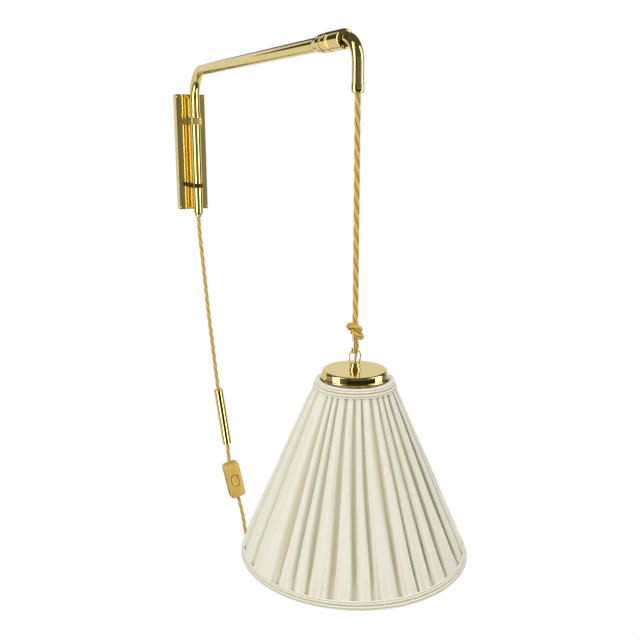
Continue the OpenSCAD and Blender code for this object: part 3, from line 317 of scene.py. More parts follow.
def smooth_route(points, step):
    """A smooth line through the points, resampled so that its points are about one step apart."""
    p = [Vector(q) for q in points]
    p = [2 * p[0] - p[1]] + p + [2 * p[-1] - p[-2]]
    fine = []
    for a, b, c, d in zip(p, p[1:], p[2:], p[3:]):
        for k in range(12):
            t = k / 12
            fine.append(0.5 * (2 * b + (c - a) * t + (2 * a - 5 * b + 4 * c - d) * t * t
                               + (3 * b - a - 3 * c + d) * t ** 3))
    fine.append(p[-2])
    reach = reach_along(fine)
    count = max(2, round(reach[-1] / step))
    out, j = [], 0
    for k in range(count + 1):
        want = reach[-1] * k / count
        while j < len(reach) - 2 and reach[j + 1] < want:
            j += 1
        share = (want - reach[j]) / max(1e-9, reach[j + 1] - reach[j])
        out.append(fine[j].lerp(fine[j + 1], min(1.0, share)))
    return out


def run_length(route):
    return reach_along(route)[-1]


# %% [markdown]
# ## Node groups for wear, weave and grain
# Three effects come back in several finishes, so each is a node group: fine handling marks on polished metal, the
# diagonal threads of a textile, and the soft grain of moulded or fired material. A group only puts out factors that
# change over the surface. The shader stays in each material, where its plain values are set on its own sockets.

# %% Node helpers
def feed(tree, slot, value):
    """Link a socket to an input, or set a plain value on it."""
    if isinstance(value, bpy.types.NodeSocket):
        tree.links.new(value, slot)
    else:
        slot.default_value = value


def add(tree, kind, **values):
    """Add a node, and set its attributes and feed its inputs by name."""
    node = tree.nodes.new(kind)
    for name, value in values.items():
        label = name.replace("_", " ")
        if label in node.inputs.keys():
            feed(tree, node.inputs[label], value)
        else:
            setattr(node, name, value)
    return node


def new_group(name, inputs, outputs):
    """A node group with float inputs that have defaults, and float outputs."""
    group = bpy.data.node_groups.new(name, "ShaderNodeTree")
    group.interface.new_socket("Vector", in_out="INPUT", socket_type="NodeSocketVector")
    for label, value in inputs.items():
        socket = group.interface.new_socket(label, in_out="INPUT", socket_type="NodeSocketFloat")
        socket.default_value = value
    for label in outputs:
        group.interface.new_socket(label, in_out="OUTPUT", socket_type="NodeSocketFloat")
    return group, add(group, "NodeGroupInput"), add(group, "NodeGroupOutput")


def maths(tree, operation, *values, clamp=False):
    """A math node on values or sockets."""
    node = add(tree, "ShaderNodeMath", operation=operation, use_clamp=clamp)
    for slot, value in zip(node.inputs, values):
        feed(tree, slot, value)
    return node.outputs[0]


def noise_at(tree, vector, scale, detail=4.0, roughness=0.55):
    node = add(tree, "ShaderNodeTexNoise", Vector=vector, Scale=scale, Detail=detail, Roughness=roughness)
    return node.outputs["Fac"]


# %% Handling marks on metal
marks, source, out = new_group("handling_marks", {"Amount": 0.5, "Fine": 900.0}, ["Marks", "Smudge", "Height"])
long_way = add(marks, "ShaderNodeMapping", Vector=source.outputs["Vector"], Scale=(1.0, 1.0, 0.06))
hair = noise_at(marks, long_way.outputs["Vector"], source.outputs["Fine"], 2.0, 0.6)
smudge = noise_at(marks, source.outputs["Vector"], 38.0, 5.0)
fine_hair = maths(marks, "MULTIPLY", maths(marks, "SUBTRACT", hair, 0.5), source.outputs["Amount"])
cloud = maths(marks, "MULTIPLY", maths(marks, "SUBTRACT", smudge, 0.45), source.outputs["Amount"])
feed(marks, out.inputs["Marks"], maths(marks, "ADD", fine_hair, cloud))
feed(marks, out.inputs["Smudge"], maths(marks, "MULTIPLY", maths(marks, "SUBTRACT", smudge, 0.35), 2.2, clamp=True))
feed(marks, out.inputs["Height"], fine_hair)

# %% Crossing threads of a textile
threads, source, out = new_group("crossing_threads", {"Warp": 2400.0, "Weft": 1400.0}, ["Height", "Shade"])
split = add(threads, "ShaderNodeSeparateXYZ", Vector=source.outputs["Vector"])
warp, weft = (maths(threads, "SINE", maths(threads, "MULTIPLY", split.outputs[axis], source.outputs[label]))
              for axis, label in ((0, "Warp"), (1, "Weft")))
cross = maths(threads, "MULTIPLY", maths(threads, "ADD", warp, weft), 0.25)
slub = noise_at(threads, source.outputs["Vector"], 160.0, 3.0)
feed(threads, out.inputs["Height"],
     maths(threads, "ADD", maths(threads, "ADD", cross, 0.5), maths(threads, "MULTIPLY", slub, 0.35)))
feed(threads, out.inputs["Shade"],
     maths(threads, "MULTIPLY_ADD", cross, 0.5, maths(threads, "MULTIPLY_ADD", slub, 0.5, 0.25), clamp=True))

# %% Grain of moulded and fired material
grain, source, out = new_group("fine_grain", {"Size": 1200.0, "Cloud": 40.0}, ["Height", "Cloud"])
feed(grain, out.inputs["Height"], noise_at(grain, source.outputs["Vector"], source.outputs["Size"], 2.0, 0.7))
feed(grain, out.inputs["Cloud"], noise_at(grain, source.outputs["Vector"], source.outputs["Cloud"], 3.0, 0.5))
print("node groups:", [g.name for g in bpy.data.node_groups])

# %% [markdown]
# ## Brass and the other finishes
# The visible brass is polished and lacquered: a pale gold metal with a sharp reflection, hairlines and a few faint
# smudges. The metal's colour is its reflection, so the base colour is bright, and the dark bands come from dark
# things that it mirrors. The upper strap is satin. The lower one gets a dark brown copy of the brass, which paints in
# the arm's shade over it, and the saddles behind them are dull. Cloths and moulded pieces get their finish from one
# function each.

# %% Materials
def new_material(name, **plain):
    """A material with a Principled shader whose plain values are set on its own sockets."""
    material = bpy.data.materials.new(name)
    material.use_nodes = True
    tree = material.node_tree
    shader = tree.nodes["Principled BSDF"]
    for label, value in plain.items():
        shader.inputs[label.replace("_", " ")].default_value = value
    return material, tree, shader, add(tree, "ShaderNodeTexCoord").outputs["Object"]


def use_group(tree, group, vector, **values):
    return add(tree, "ShaderNodeGroup", node_tree=group, Vector=vector, **values)


def blend_colours(tree, factor, first, second):
    """Mix two colours, plain ones or sockets, by a factor that changes over the surface."""
    node = add(tree, "ShaderNodeMix", data_type="RGBA")
    colours = {s.name: s for s in node.inputs if s.type == "RGBA"}
    for side, value in (("A", first), ("B", second)):
        feed(tree, colours[side], (*value, 1.0) if isinstance(value, tuple) else value)
    feed(tree, node.inputs["Factor"], factor)
    return next(s for s in node.outputs if s.type == "RGBA")


def bumped(tree, shader, height, distance, strength=1.0):
    node = add(tree, "ShaderNodeBump", Strength=strength, Distance=distance, Height=height)
    feed(tree, shader.inputs["Normal"], node.outputs["Normal"])


def metal(name, dark, light, low, high, amount=0.5, scratch=0.000004):
    """A metal whose colour and roughness drift between two values with its handling marks."""
    material, tree, shader, place = new_material(name, Metallic=1.0)
    worn = use_group(tree, marks, place, Amount=amount)
    rough = add(tree, "ShaderNodeMapRange", Value=worn.outputs["Marks"], From_Min=-0.35, From_Max=0.35,
                To_Min=low, To_Max=high)
    feed(tree, shader.inputs["Base Color"], blend_colours(tree, worn.outputs["Smudge"], light, dark))
    feed(tree, shader.inputs["Roughness"], rough.outputs[0])
    bumped(tree, shader, worn.outputs["Height"], scratch)
    return material


def woven(name, fineness, dark, light, distance, strength, painted_shade=None, **plain):
    """A cloth with crossing threads. Painted shade, if given, is an attribute of the mesh that marks the creases or
    grooves to darken, how much it darkens them, and its colour.
    """
    material, tree, shader, place = new_material(name, **plain)
    cloth = use_group(tree, threads, place, Warp=fineness, Weft=fineness)
    colour = blend_colours(tree, cloth.outputs["Shade"], dark, light)
    if painted_shade:
        share = add(tree, "ShaderNodeAttribute", attribute_name=painted_shade[0]).outputs["Fac"]
        colour = blend_colours(tree, maths(tree, "MULTIPLY", share, painted_shade[1]), colour, painted_shade[2])
    feed(tree, shader.inputs["Base Color"], colour)
    bumped(tree, shader, cloth.outputs["Height"], distance, strength)
    return material


def grainy(name, size, cloud, dark, light, distance=0.0, strength=0.0, **plain):
    """A moulded or fired finish with a fine grain and two tones that drift into each other."""
    material, tree, shader, place = new_material(name, **plain)
    spots = use_group(tree, grain, place, Size=size, Cloud=cloud)
    feed(tree, shader.inputs["Base Color"], blend_colours(tree, spots.outputs["Cloud"], dark, light))
    if distance:
        bumped(tree, shader, spots.outputs["Height"], distance, strength)
    return material


brass = metal("polished_brass", (0.80, 0.62, 0.21), (0.87, 0.70, 0.25), 0.05, 0.11)
dull_brass = metal("dull_brass", (0.50, 0.36, 0.15), (0.62, 0.47, 0.22), 0.24, 0.42, 0.8)
steel = metal("zinc_steel", (0.42, 0.42, 0.41), (0.58, 0.58, 0.57), 0.22, 0.40, 0.8)
satin_brass = metal("satin_brass", (0.74, 0.55, 0.17), (0.84, 0.66, 0.23), 0.22, 0.34)
# Painted shade: a dark brown copy of the brass for the lower strap, standing for the arm's shade over it.
shade_painted_brass = metal("shade_painted_brass", (0.16, 0.09, 0.02), (0.24, 0.14, 0.035), 0.14, 0.24)
nickel = metal("nickel", (0.60, 0.58, 0.54), (0.72, 0.70, 0.66), 0.12, 0.25, 0.6)
print("metals ready")

# %% [markdown]
# ## The gold cord
# The cord is a twisted textile flex: three covered strands laid round each other, about 6 mm over all, with one full
# turn every 45 mm. A round tube would lose that look, so the section that is carried along the route has three round
# lobes, and it turns as it goes. The mesh gets a UV map with the strands round and the length along, so that colour
# and threads follow the lay. The cords come before all other pieces.

# %% Strand section
STRANDS = 3
LAY = 45.0


def lobe(angle):
    """How far out the twisted section lies at an angle, from 0 between two strands to 1 on top of one."""
    place = (angle * STRANDS / (2 * math.pi)) % 1.0 - 0.5
    return math.sqrt(max(0.0, 1.0 - (1.55 * place) ** 2))


def strand_radius(angle, outer):
    deep = lobe(0.0)
    share = (lobe(angle) - deep) / (1.0 - deep)
    return outer * (0.64 + 0.36 * share)


def twisted(route, outer, sides=24, start=0.0, first=(0, 1, 0), lay=LAY, taper=None):
    """A twisted cord along a route, with its UV map. It hands back the bmesh and the angle it ends at."""
    route = [Vector(p) for p in route]
    reach = reach_along(route)
    turn = [start - 2 * math.pi * s / lay for s in reach]

    def section(i, k):
        angle = 2 * math.pi * k / sides
        size = taper[i] if taper else outer
        return strand_radius(angle, size), angle + turn[i]

    bm = swept(route, section, sides, first)
    bm.verts.ensure_lookup_table()
    uv = bm.loops.layers.uv.new("lay")
    bm.verts.index_update()
    for face in bm.faces:
        rings = [loop.vert.index // sides for loop in face.loops]
        turns = [loop.vert.index % sides for loop in face.loops]
        wraps = max(turns) - min(turns) > sides / 2
        for loop, ring, around in zip(face.loops, rings, turns):
            across = around + (sides if wraps and around < sides / 2 else 0)
            loop[uv].uv = (across / sides, reach[min(ring, len(reach) - 1)] / lay)
    return bm, turn[-1]


def laid_cord(name, route, outer=CORD_R, sides=24, **how):
    """Keep a length of gold cord along a route. It hands back the piece and the angle it ends at."""
    bm, angle = twisted(route, outer, sides, **how)
    return keep(bm, name, gold_cord, merge=False, crisp=60), angle


# %% Gold cord material
gold_cord, tree, shader, _ = new_material("gold_cord", Sheen_Weight=0.35, Sheen_Roughness=0.4,
                                          Sheen_Tint=(1.0, 0.86, 0.5, 1.0))
lay_map = add(tree, "ShaderNodeUVMap", uv_map="lay").outputs[0]
split = add(tree, "ShaderNodeSeparateXYZ", Vector=lay_map)
# The grooves between the three strands are painted dark brown as shade, on top of the threads' own tones.
around = maths(tree, "FRACT", maths(tree, "MULTIPLY", split.outputs[0], float(STRANDS)))
off_top = maths(tree, "MULTIPLY", maths(tree, "ABSOLUTE", maths(tree, "SUBTRACT", around, 0.5)), 2.0)
strand_groove_shade = add(tree, "ShaderNodeMapRange", interpolation_type="SMOOTHSTEP", Value=off_top, From_Min=0.62, From_Max=0.98)
cloth = use_group(tree, threads, lay_map, Warp=2 * math.pi * 21, Weft=2 * math.pi * 40)
colour = blend_colours(tree, cloth.outputs["Shade"], (0.50, 0.29, 0.035), (0.84, 0.55, 0.10))
colour = blend_colours(tree, maths(tree, "MULTIPLY", strand_groove_shade.outputs[0], 0.9), colour, (0.15, 0.085, 0.008))
feed(tree, shader.inputs["Base Color"], colour)
feed(tree, shader.inputs["Roughness"], maths(tree, "MULTIPLY_ADD", cloth.outputs["Shade"], -0.25, 0.78))
bumped(tree, shader, cloth.outputs["Height"], 0.0002, 0.7)
print("cord colours ready")

# %% [markdown]
# ## The cords' routes
# The visible cord falls straight out of the arm's mouth into an overhand knot, and a thin leg of it goes on to the
# shade's neck. The supply lead leaves the wall tube's foot, sags a little through the counterweight, passes the
# switch, and the length that the picture doesn't show lies in a neat coil behind the shade, with the plug beside it.
# The routes repeat the frame's round numbers, in millimetres.

# %% Routes
def flat(pairs, y=LEAD_Y):
    return [(x, y, z) for x, z in pairs]


def metres(route):
    return [tuple(MM * c for c in p) for p in route]


upper_points = flat([(0, -101), (0, -108), (1, -130), (3, -155), (5, -180), (7, -205), (9, -232), (11, -258),
                     (13, -280), (15.2, -302), (17.2, -324), (19.2, -346), (21, -365), (22.7, -383), (23.4, -389.5),
                     (24.2, -396)])
middle_points = flat([(37.1, -495.2), (37.9, -502), (38.3, -508), (38.6, -514), (39, -520), (39.8, -526.5), (41, -533)])
lower_points = flat([(54.2, -597.7), (55.5, -604), (57.6, -613), (60, -624), (62.2, -635.5), (64.1, -648),
                     (65.5, -659), (66.8, -669), (69, -681.5), (73.8, -694.5), (82, -707), (94, -717.5),
                     (109, -726), (125, -732.2), (136, -735.2), (142, -736), (147, -736)])
tail_points = flat([(199.2, -683.8), (199.2, -676), (201.2, -666), (207, -657.5), (215.5, -652), (225.2, -650.2),
                    (235, -652), (243.5, -657.5), (249.2, -666), (251.2, -676), (251.2, -684)], LEAD_Y + COIL_STEP)
coil_points = [(147.0, LEAD_Y, COIL_Z - COIL_R)]
for i in range(int(24 * COIL_TURNS) + 1):
    t = i / 24
    back = COIL_STEP * min(1.0, max(0.0, 0.5 + (t - COIL_TURNS / 2) / 0.5))
    x, z = polar(COIL_R - COIL_STEP * min(t, COIL_TURNS - t), 360 * t - 90)
    coil_points.append((COIL_X + x, LEAD_Y + back, COIL_Z + z))
coil_points.append((COIL_X + COIL_R, LEAD_Y + COIL_STEP, -683.8))
half_knot = [(0, 4.9, 0), (1.3, 4.9, 0.9), (3.8, 4.5, 2.8), (5.6, 2.8, 4.7), (6.2, 0.2, 6.2), (5.4, -2.8, 6.8),
             (3.4, -5.1, 6.3), (0.8, -6.2, 4.9), (-1.5, -5.9, 2.9), (-2.9, -4.3, 0.7), (-2.3, -2, -1.3),
             (-0.7, -0.7, -3.6), (0, 0, -6.6), (0, 0, -9.5)]
knot_points = [(-x, y, -z) for x, y, z in reversed(half_knot[1:])] + half_knot
knot_points = [(-x, PENDANT_Y + y, KNOT_Z + z) for x, y, z in knot_points]
leg_points = [(0, 0, -174.2, 3.0), (0.3, -0.3, -176.5, 2.7), (0.9, -0.8, -179, 2.3), (1.2, -1.2, -182, 1.9),
              (1.1, -1.1, -186, 1.5), (0.6, -0.7, -191, 1.3), (0.2, -0.2, -196, 1.1), (0, 0, -200.7, 0.9)]
pendant_points = [(0, PENDANT_Y, 77), (0, PENDANT_Y, -155.2)]
print("knot line", round(run_length([Vector(p) for p in knot_points]), 1), "mm")

# %% Hanging cord, knot and leg
pendant_route = smooth_route(pendant_points, 1.5)
pendant_cord, angle = laid_cord("hanging_cord", pendant_route, CORD_R, 36, start=0.6)
knot, angle = laid_cord("overhand_knot", smooth_route(knot_points, 0.9), 3.15, 30, start=angle, lay=30.0)

leg_route = smooth_route([(x, PENDANT_Y + y, z) for x, y, z, r in leg_points], 0.8)
widths = [r for x, y, z, r in leg_points]
last = len(leg_route) - 1
leg_size = [widths[min(len(widths) - 1, round(i / last * (len(widths) - 1)))] for i in range(last + 1)]
for _ in range(6):
    leg_size = [(leg_size[max(i - 1, 0)] + size + leg_size[min(i + 1, last)]) / 3 for i, size in enumerate(leg_size)]
leg, _ = laid_cord("cord_leg", leg_route, CORD_R, 30, start=angle, lay=30.0, taper=leg_size)

# %% Supply lead in its stretches
stretches = {}
for name, points, step, sides in (("upper_lead", upper_points, 2.0, 24), ("middle_lead", middle_points, 1.5, 24),
                                  ("long_lead", lower_points + coil_points[1:] + tail_points[1:], 3.0, 18)):
    route = smooth_route(points, step)
    stretches[name] = (laid_cord(name, route, CORD_R, sides)[0], metres(route), MM * run_length(route))
    print(name, round(run_length(route), 1), "mm")

# %% [markdown]
# ## The wall box
# The box is a shallow brass tray with a bright cover plate, held by four tiny screws at its corners. The plate is the
# largest mirror on the lamp, so it is one flat face with a narrow eased rim. The two straps are bent from flat strip:
# each is an outline in plan that is extruded upwards and given its thickness.

# %% Cover plate
plate = bmesh.new()
bmesh.ops.create_cube(plate, size=1.0)
bmesh.ops.scale(plate, vec=(47.4, 2.0, 180.0), verts=plate.verts)
bmesh.ops.bevel(plate, geom=plate.edges[:], offset=0.55, affect="EDGES", segments=4, profile=0.5, material=-1)
fit(keep(plate, "cover_plate", brass, move(0, -13, 0), crisp=8), "wall", "brass", "cover_plate")

# %% Corner screws with their slots
def sunken(bm, faces, depth):
    """Press some faces of a screw's head in."""
    sunk = bmesh.ops.extrude_face_region(bm, geom=faces)["geom"]
    bmesh.ops.delete(bm, geom=faces, context="FACES_ONLY")
    shifted(bm, sunk, (0, 0, -depth))
    return bm


def slotted_head(radius, height, slot_width, slot_depth):
    """A domed screw head with a straight slot, its foot at z = 0."""
    dome = (radius * radius + height * height) / (2 * height)
    line = [(0, height)]
    for k in range(1, 6):
        a = k / 6 * math.asin(radius / dome)
        line.append((dome * math.sin(a), height - dome + dome * math.cos(a)))
    line += [(radius, 0.12), (radius, 0.0), (0, 0)]
    bm = turned(line, steps=32)
    for side in (-1, 1):
        bmesh.ops.bisect_plane(bm, geom=bm.verts[:] + bm.edges[:] + bm.faces[:], dist=1e-5,
                               plane_co=(side * slot_width / 2, 0, 0), plane_no=(1, 0, 0))
    floor = [f for f in bm.faces if f.normal.z > 0.3 and abs(f.calc_center_median().x) < slot_width / 2]
    return sunken(bm, floor, slot_depth)


heads = []
for i, (side, up) in enumerate(((-1, -1), (1, -1), (-1, 1), (1, 1))):
    place = move(side * 20.5, -14.0, up * 86.4) @ rotate(90, "X") @ Matrix.Rotation(0.5 + 0.9 * i, 4, "Z")
    heads.append(moved(slotted_head(1.8, 0.8, 0.42, 0.35), place))
fit(keep(joined(*heads), "corner_screws", brass, merge=False), "wall", "brass", "corner_screws")

# %% Straps and stop ring
def strap(middle, height, name, finish):
    """A bent strip round the wall tube, with its two ends on the plate."""
    line = [(-8.42, -14.0), (-8.42, -46.42), (8.42, -46.42), (8.42, -14.0)]
    bm = bmesh.new()
    verts = [bm.verts.new((x, y, 0)) for x, y in eased(line, 2.4, 6)]
    edges = [bm.edges.new(pair) for pair in zip(verts, verts[1:])]
    shifted(bm, bmesh.ops.extrude_edge_only(bm, edges=edges)["geom"], (0, 0, height))
    outwards(bm, -30.0)
    bmesh.ops.solidify(bm, geom=bm.faces[:], thickness=0.8)
    rims = [e for e in bm.edges if len(e.link_faces) == 2 and e.calc_face_angle(0) > 1.2]
    bmesh.ops.bevel(bm, geom=rims, offset=0.2, affect="EDGES", segments=2, profile=0.5, material=-1)
    return keep(bm, name, finish, move(0, 0, middle - height / 2), crisp=20)


# The lower strap takes the brass with painted shade.
fit(strap(-51.0, 6.6, "lower_strap", shade_painted_brass), "wall", "brass", "lower_strap")
fit(strap(48.8, 10.6, "upper_strap", satin_brass), "wall", "brass", "upper_strap")

stop_line = [(7.53, 54.3), (8.3, 54.3), (8.3, 61.9), (7.53, 61.9)]
fit(lathed("stop_ring", stop_line, 0.2, brass, on_tube), "arm", "brass", "stop_ring")

# %% [markdown]
# ## The swinging arm
# The arm is one 15 mm tube that stands in the straps, turns through a quarter bend and runs out level. It starts as
# a circle. Extruding lifts it, spinning takes it round the elbow, and a last extrusion runs it into the collar. At its
# foot a turned ferrule with a set screw lets the lead out, and at the far end a collar, a grip ring and a gland nut
# hold the thinner tube that slides inside.

# %% Arm tube
def open_tube(radius, start, axis, steps=64):
    """A circle of edges square to an axis, as the start of a tube."""
    bm = bmesh.new()
    turn = Vector((0, 0, 1)).rotation_difference(Vector(axis)).to_matrix()
    bmesh.ops.create_circle(bm, segments=steps, radius=radius)
    bmesh.ops.rotate(bm, cent=(0, 0, 0), matrix=turn, verts=bm.verts)
    bmesh.ops.translate(bm, vec=start, verts=bm.verts)
    return bm, bm.edges[:]


def push(bm, edges, vec):
    """Extrude the open end of a tube by a vector."""
    made = bmesh.ops.extrude_edge_only(bm, edges=edges)["geom"]
    shifted(bm, made, vec)
    return [g for g in made if isinstance(g, bmesh.types.BMEdge)]


def bend(bm, edges, centre, axis, degrees, steps=28):
    """Spin the open end of a tube round a bend."""
    verts = list({v for e in edges for v in e.verts})
    made = spun(bm, verts + list(edges), degrees, steps, centre, axis)
    return [g for g in made if isinstance(g, bmesh.types.BMEdge)]


def walled(bm, thickness, start, axis):
    """Give an open tube its wall, inwards. The start is a point on its axis at one end."""
    bmesh.ops.recalc_face_normals(bm, faces=bm.faces)
    near = min(bm.faces, key=lambda f: (f.calc_center_median() - Vector(start)).length)
    out = near.calc_center_median() - Vector(start)
    out -= out.dot(Vector(axis)) * Vector(axis)
    if near.normal.dot(out) < 0:
        bmesh.ops.reverse_faces(bm, faces=bm.faces)
    bmesh.ops.solidify(bm, geom=bm.faces[:], thickness=thickness)
    return bm


foot = (0, TUBE_Y, FOOT_Z)
bm, end = open_tube(7.5, foot, (0, 0, 1))
end = push(bm, end, (0, 0, ARM_Z - ELBOW_R - FOOT_Z))
end = bend(bm, end, (0, TUBE_Y - ELBOW_R, ARM_Z - ELBOW_R), (1, 0, 0), 90, 40)
push(bm, end, (0, ELBOW_R - 477.5, 0))
fit(keep(walled(bm, 1.0, foot, (0, 0, 1)), "arm_tube", brass), "arm", "brass", "arm_tube")

# %% Foot ferrule and its set screw
foot_line = [(3.3, -100.2), (3.5, -101), (4.1, -101), (4.5, -100.2), (6.3, -96), (7.5, -94), (7.5, -92.02),
             (6.5, -92.0), (3.3, -92.0)]
fit(lathed("foot_ferrule", foot_line, 0.35, brass, on_tube), "arm", "brass", "foot_ferrule")


def grub_screw(radius, length, socket):
    """A short set screw with a sunk socket, its face at z = 0."""
    bm = bmesh.new()
    bmesh.ops.create_circle(bm, cap_ends=True, segments=24, radius=radius)
    shifted(bm, bmesh.ops.extrude_face_region(bm, geom=bm.faces[:])["geom"], (0, 0, -length))
    top = [f for f in bm.faces if abs(f.calc_center_median().z) < 1e-6]
    for share, depth in ((0.12 * radius, -0.08 * radius), (0.38 * radius, 0.0)):
        bmesh.ops.inset_region(bm, faces=top, thickness=share, depth=depth, use_even_offset=True)
    return sunken(bm, top, socket)


foot_screw = keep(grub_screw(1.2, 2.0, 0.7), "foot_screw", steel, move(0, -44.76, -95.3) @ rotate(121, "X"))
fit(foot_screw, "arm", "steel", "foot_screw")

# %% Collar, grip ring and gland nut
collar_line = [(7.55, 457.5), (7.75, 457.5), (9.0, 467.0), (9.6, 469.5), (9.6, 478.4), (8.7, 479.0), (8.7, 480.9),
               (9.8, 481.5), (9.8, 482.5), (8.0, 482.5), (7.7, 482.0)]
fit(lathed("arm_collar", collar_line, 0.3, brass, on_arm), "arm", "brass", "arm_collar")

grip_line = [(8.05, 482.6), (9.6, 482.6), (10.0, 483.1), (10.0, 493.2), (9.5, 493.6), (9.5, 494.4), (9.9, 494.8),
             (9.9, 496.8), (9.4, 497.6), (8.05, 497.6)]
fit(lathed("grip_ring", grip_line, 0.3, brass, on_arm), "arm", "brass_inner", "grip_ring")

nut_line = [(8.1, 498.0), (9.5, 498.0), (9.9, 498.4), (9.9, 520.0)]
nut_line += [(6.9 + r, 520.2 + z) for r, z in (polar(3.0, math.degrees(0.2 * k)) for k in range(1, 8))]
nut_line += [(7.2, 523.2), (7.0, 522.7), (6.7, 522.7), (6.6, 523.1), (6.3, 523.1), (6.15, 522.0), (6.15, 510.0),
             (8.1, 508.0)]
fit(lathed("gland_nut", nut_line, 0, brass, on_arm), "nut", "brass", "clamp_nut")

# %% [markdown]
# ## The gooseneck and its mouth
# A 12 mm tube slides in the arm, comes out of the nut and bends straight down. A thin turned sleeve with a rolled lip
# finishes its end, and the white bush inside keeps the cord off the metal.

# %% Gooseneck
start = (0, GOOSE_START_Y, ARM_Z)
bm, end = open_tube(6.0, start, (0, 1, 0))
end = push(bm, end, (0, GOOSE_BEND_Y - GOOSE_START_Y, 0))
end = bend(bm, end, (0, GOOSE_BEND_Y, ARM_Z - GOOSE_R), (-1, 0, 0), -90)
push(bm, end, (0, 0, 74.0 - min(v.co.z for v in bm.verts)))
fit(keep(walled(bm, 1.0, start, (0, 1, 0)), "gooseneck", brass), "gooseneck", "brass", "gooseneck")

mouth_line = [(4.62, 71.0), (4.9, 71.0), (5.4, 71.35), (5.9, 71.95), (6.25, 72.75), (6.43, 73.7), (6.5, 74.8),
              (6.5, 79.2), (6.3, 79.6), (6.03, 79.6), (6.03, 74.0), (4.62, 74.0)]
fit(lathed("mouth_sleeve", mouth_line, 0.25, brass, on_pendant), "gooseneck", "brass", "mouth_ferrule")

# %% [markdown]
# ## Hook, ring and neck
# Under the knot a brass wire hook grips the cord and catches a small ring. The ring's two legs spring into a turned
# neck, which the cap hangs from. The wires are swept along short lines, with balls where the ring's feet turn in.

# %% Hook and ring
eye_z, side = -167.2, -2.3
catch_r = 2.35
catch_z = RING_Z + math.sqrt(RING_R ** 2 - side ** 2)
shank = [(side - 0.4, -3.0, eye_z), (side - 0.3, -2.9, -172.0), (side - 0.1, -2.6, -178.0)]
shank += [(side, -y, catch_z - z) for y, z in (polar(catch_r, a) for a in range(0, 181, 30))]
shank.append((side, catch_r, catch_z + 1.8))
hook = joined(turned(ring_section(4.0, eye_z, 1.2), closed=True, steps=64),
              round_wire(smooth_route(shank, 0.6), 1.1, 14, (1, 0, 0)))
fit(keep(hook, "hanger_hook", brass, on_pendant, merge=False, crisp=50), "hanger", "brass", "hanger_hook")

foot_x = 5.31
ring_line = [(foot_x, 0, RING_FOOT_Z)]
ring_line += [(x, 0, RING_Z + z) for x, z in (polar(RING_R, -8 + 196 * k / 24) for k in range(25))]
parts = [round_wire(ring_line + [(-foot_x, 0, RING_FOOT_Z)], 0.7, 14)]
for x in (-foot_x, foot_x):
    ball = bmesh.new()
    bmesh.ops.create_uvsphere(ball, u_segments=24, v_segments=16, radius=1.05)
    tip = x - math.copysign(2.3, x)
    parts += [moved(ball, move(x, 0, RING_FOOT_Z)), round_wire([(x, 0, RING_FOOT_Z), (tip, 0, RING_FOOT_Z)], 0.75, 12)]
fit(keep(joined(*parts), "bail_ring", brass, on_pendant, merge=False, crisp=50), "bail", "brass", "bail_ring")

# %% Neck and cap
neck_line = [(2.1, -205.9), (5.9, -205.95), (5.9, -204.1), (5.4, -203.9), (5.4, -203.5), (5.8, -203.3),
             (5.8, -202.8), (5.5, -202.5), (4.2, -202.5), (4.2, -199.7), (3.7, -199.2), (2.1, -199.2)]
fit(lathed("neck", neck_line, 0.18, brass, on_pendant), "shade", "brass", "neck")

cap_line = [(5.1, -206.0), (31.4, -206.0), (31.7, -206.0), (32.7, -206.2), (33.4, -206.6), (33.8, -207.2),
            (34.0, -207.9), (34.0, -208.1), (34.0, -212.5), (34.0, -212.7), (34.3, -213.0), (35.4, -213.2),
            (35.7, -213.7), (35.5, -214.2), (35.1, -214.3), (33.2, -214.3), (33.0, -213.9), (33.0, -209.4),
            (31.6, -207.6), (5.1, -207.0)]
fit(lathed("cap", cap_line, 0, brass, on_pendant, 128, 40), "shade", "brass", "cap")

# %% [markdown]
# ## The pleated cover
# The cover is one strip of ivory cloth, laid in soft knife pleats round the wire frame and sewn flat to both rings.
# It is made as a circle of many points that is extruded ring by ring down the cone. Every point then finds its place
# in the fold it belongs to: each panel starts at a raised sharp edge, runs nearly flat, and sinks into a narrow valley
# under the next edge. The pleats have the uneven widths that hand sewing gives, and fine gathers near both rings.

# %% Pleats
COVER_TOP = -217.6
COVER_HEIGHT = 189.5


def cloth_radius(z):
    """The radius of the cloth's middle surface at a height, in millimetres."""
    return 39.2 + (-217.4 - z) * 0.42759


edges_at = [-176, -163, -152, -140, -127, -117, -105, -87.5, -65.5, -57, -49, -36.5, -25.5, -16.5, -3.0, 6.5,
            15.4, 26.5, 41, 52, 61, 75, 86, 99, 108, 121, 134, 144, 158, 171]
steps_of_fold = [0.0, 0.02, 0.055, 0.12, 0.20, 0.28, 0.36, 0.44, 0.51, 0.58, 0.64, 0.69, 0.74, 0.785, 0.83, 0.87,
                 0.905, 0.935, 0.96, 0.982]
columns = []
for i, left in enumerate(edges_at):
    right = edges_at[(i + 1) % len(edges_at)]
    width = (right - left) % 360
    valley = min(0.68, 8.5 / width)
    columns += [(i, left + width * s, s, valley) for s in steps_of_fold]
print(len(edges_at), "pleats,", len(columns), "columns")


def gentle(a, b, x):
    t = min(1.0, max(0.0, (x - a) / (b - a)))
    return t * t * (3 - 2 * t)


def fold_height(s, valley):
    """Height across one pleat, from -1 in the valley to 1 on the panel. s runs from its left edge to the next."""
    if s > 0.97:
        return -1.0 + 1.7 * (s - 0.97) / 0.03
    panel = 0.7 + 0.3 * gentle(0.0, 0.3, s)
    return panel + (-1.0 - panel) * gentle(1.0 - valley - 0.08, 1.0 - 0.25 * valley, s)


def down(t):
    """How strong the pleats are from the top ring, t = 0, to the bottom ring, t = 1, in millimetres."""
    return 0.7 + 0.8 * gentle(0.0, 0.12, t) + 1.35 * gentle(0.1, 0.8, t) - 1.9 * gentle(0.86, 1.0, t)


def wobble(x, y, z):
    """A smooth random value from -1 to 1 that is always the same at the same place."""
    return noise.noise(Vector((x, y, z)))


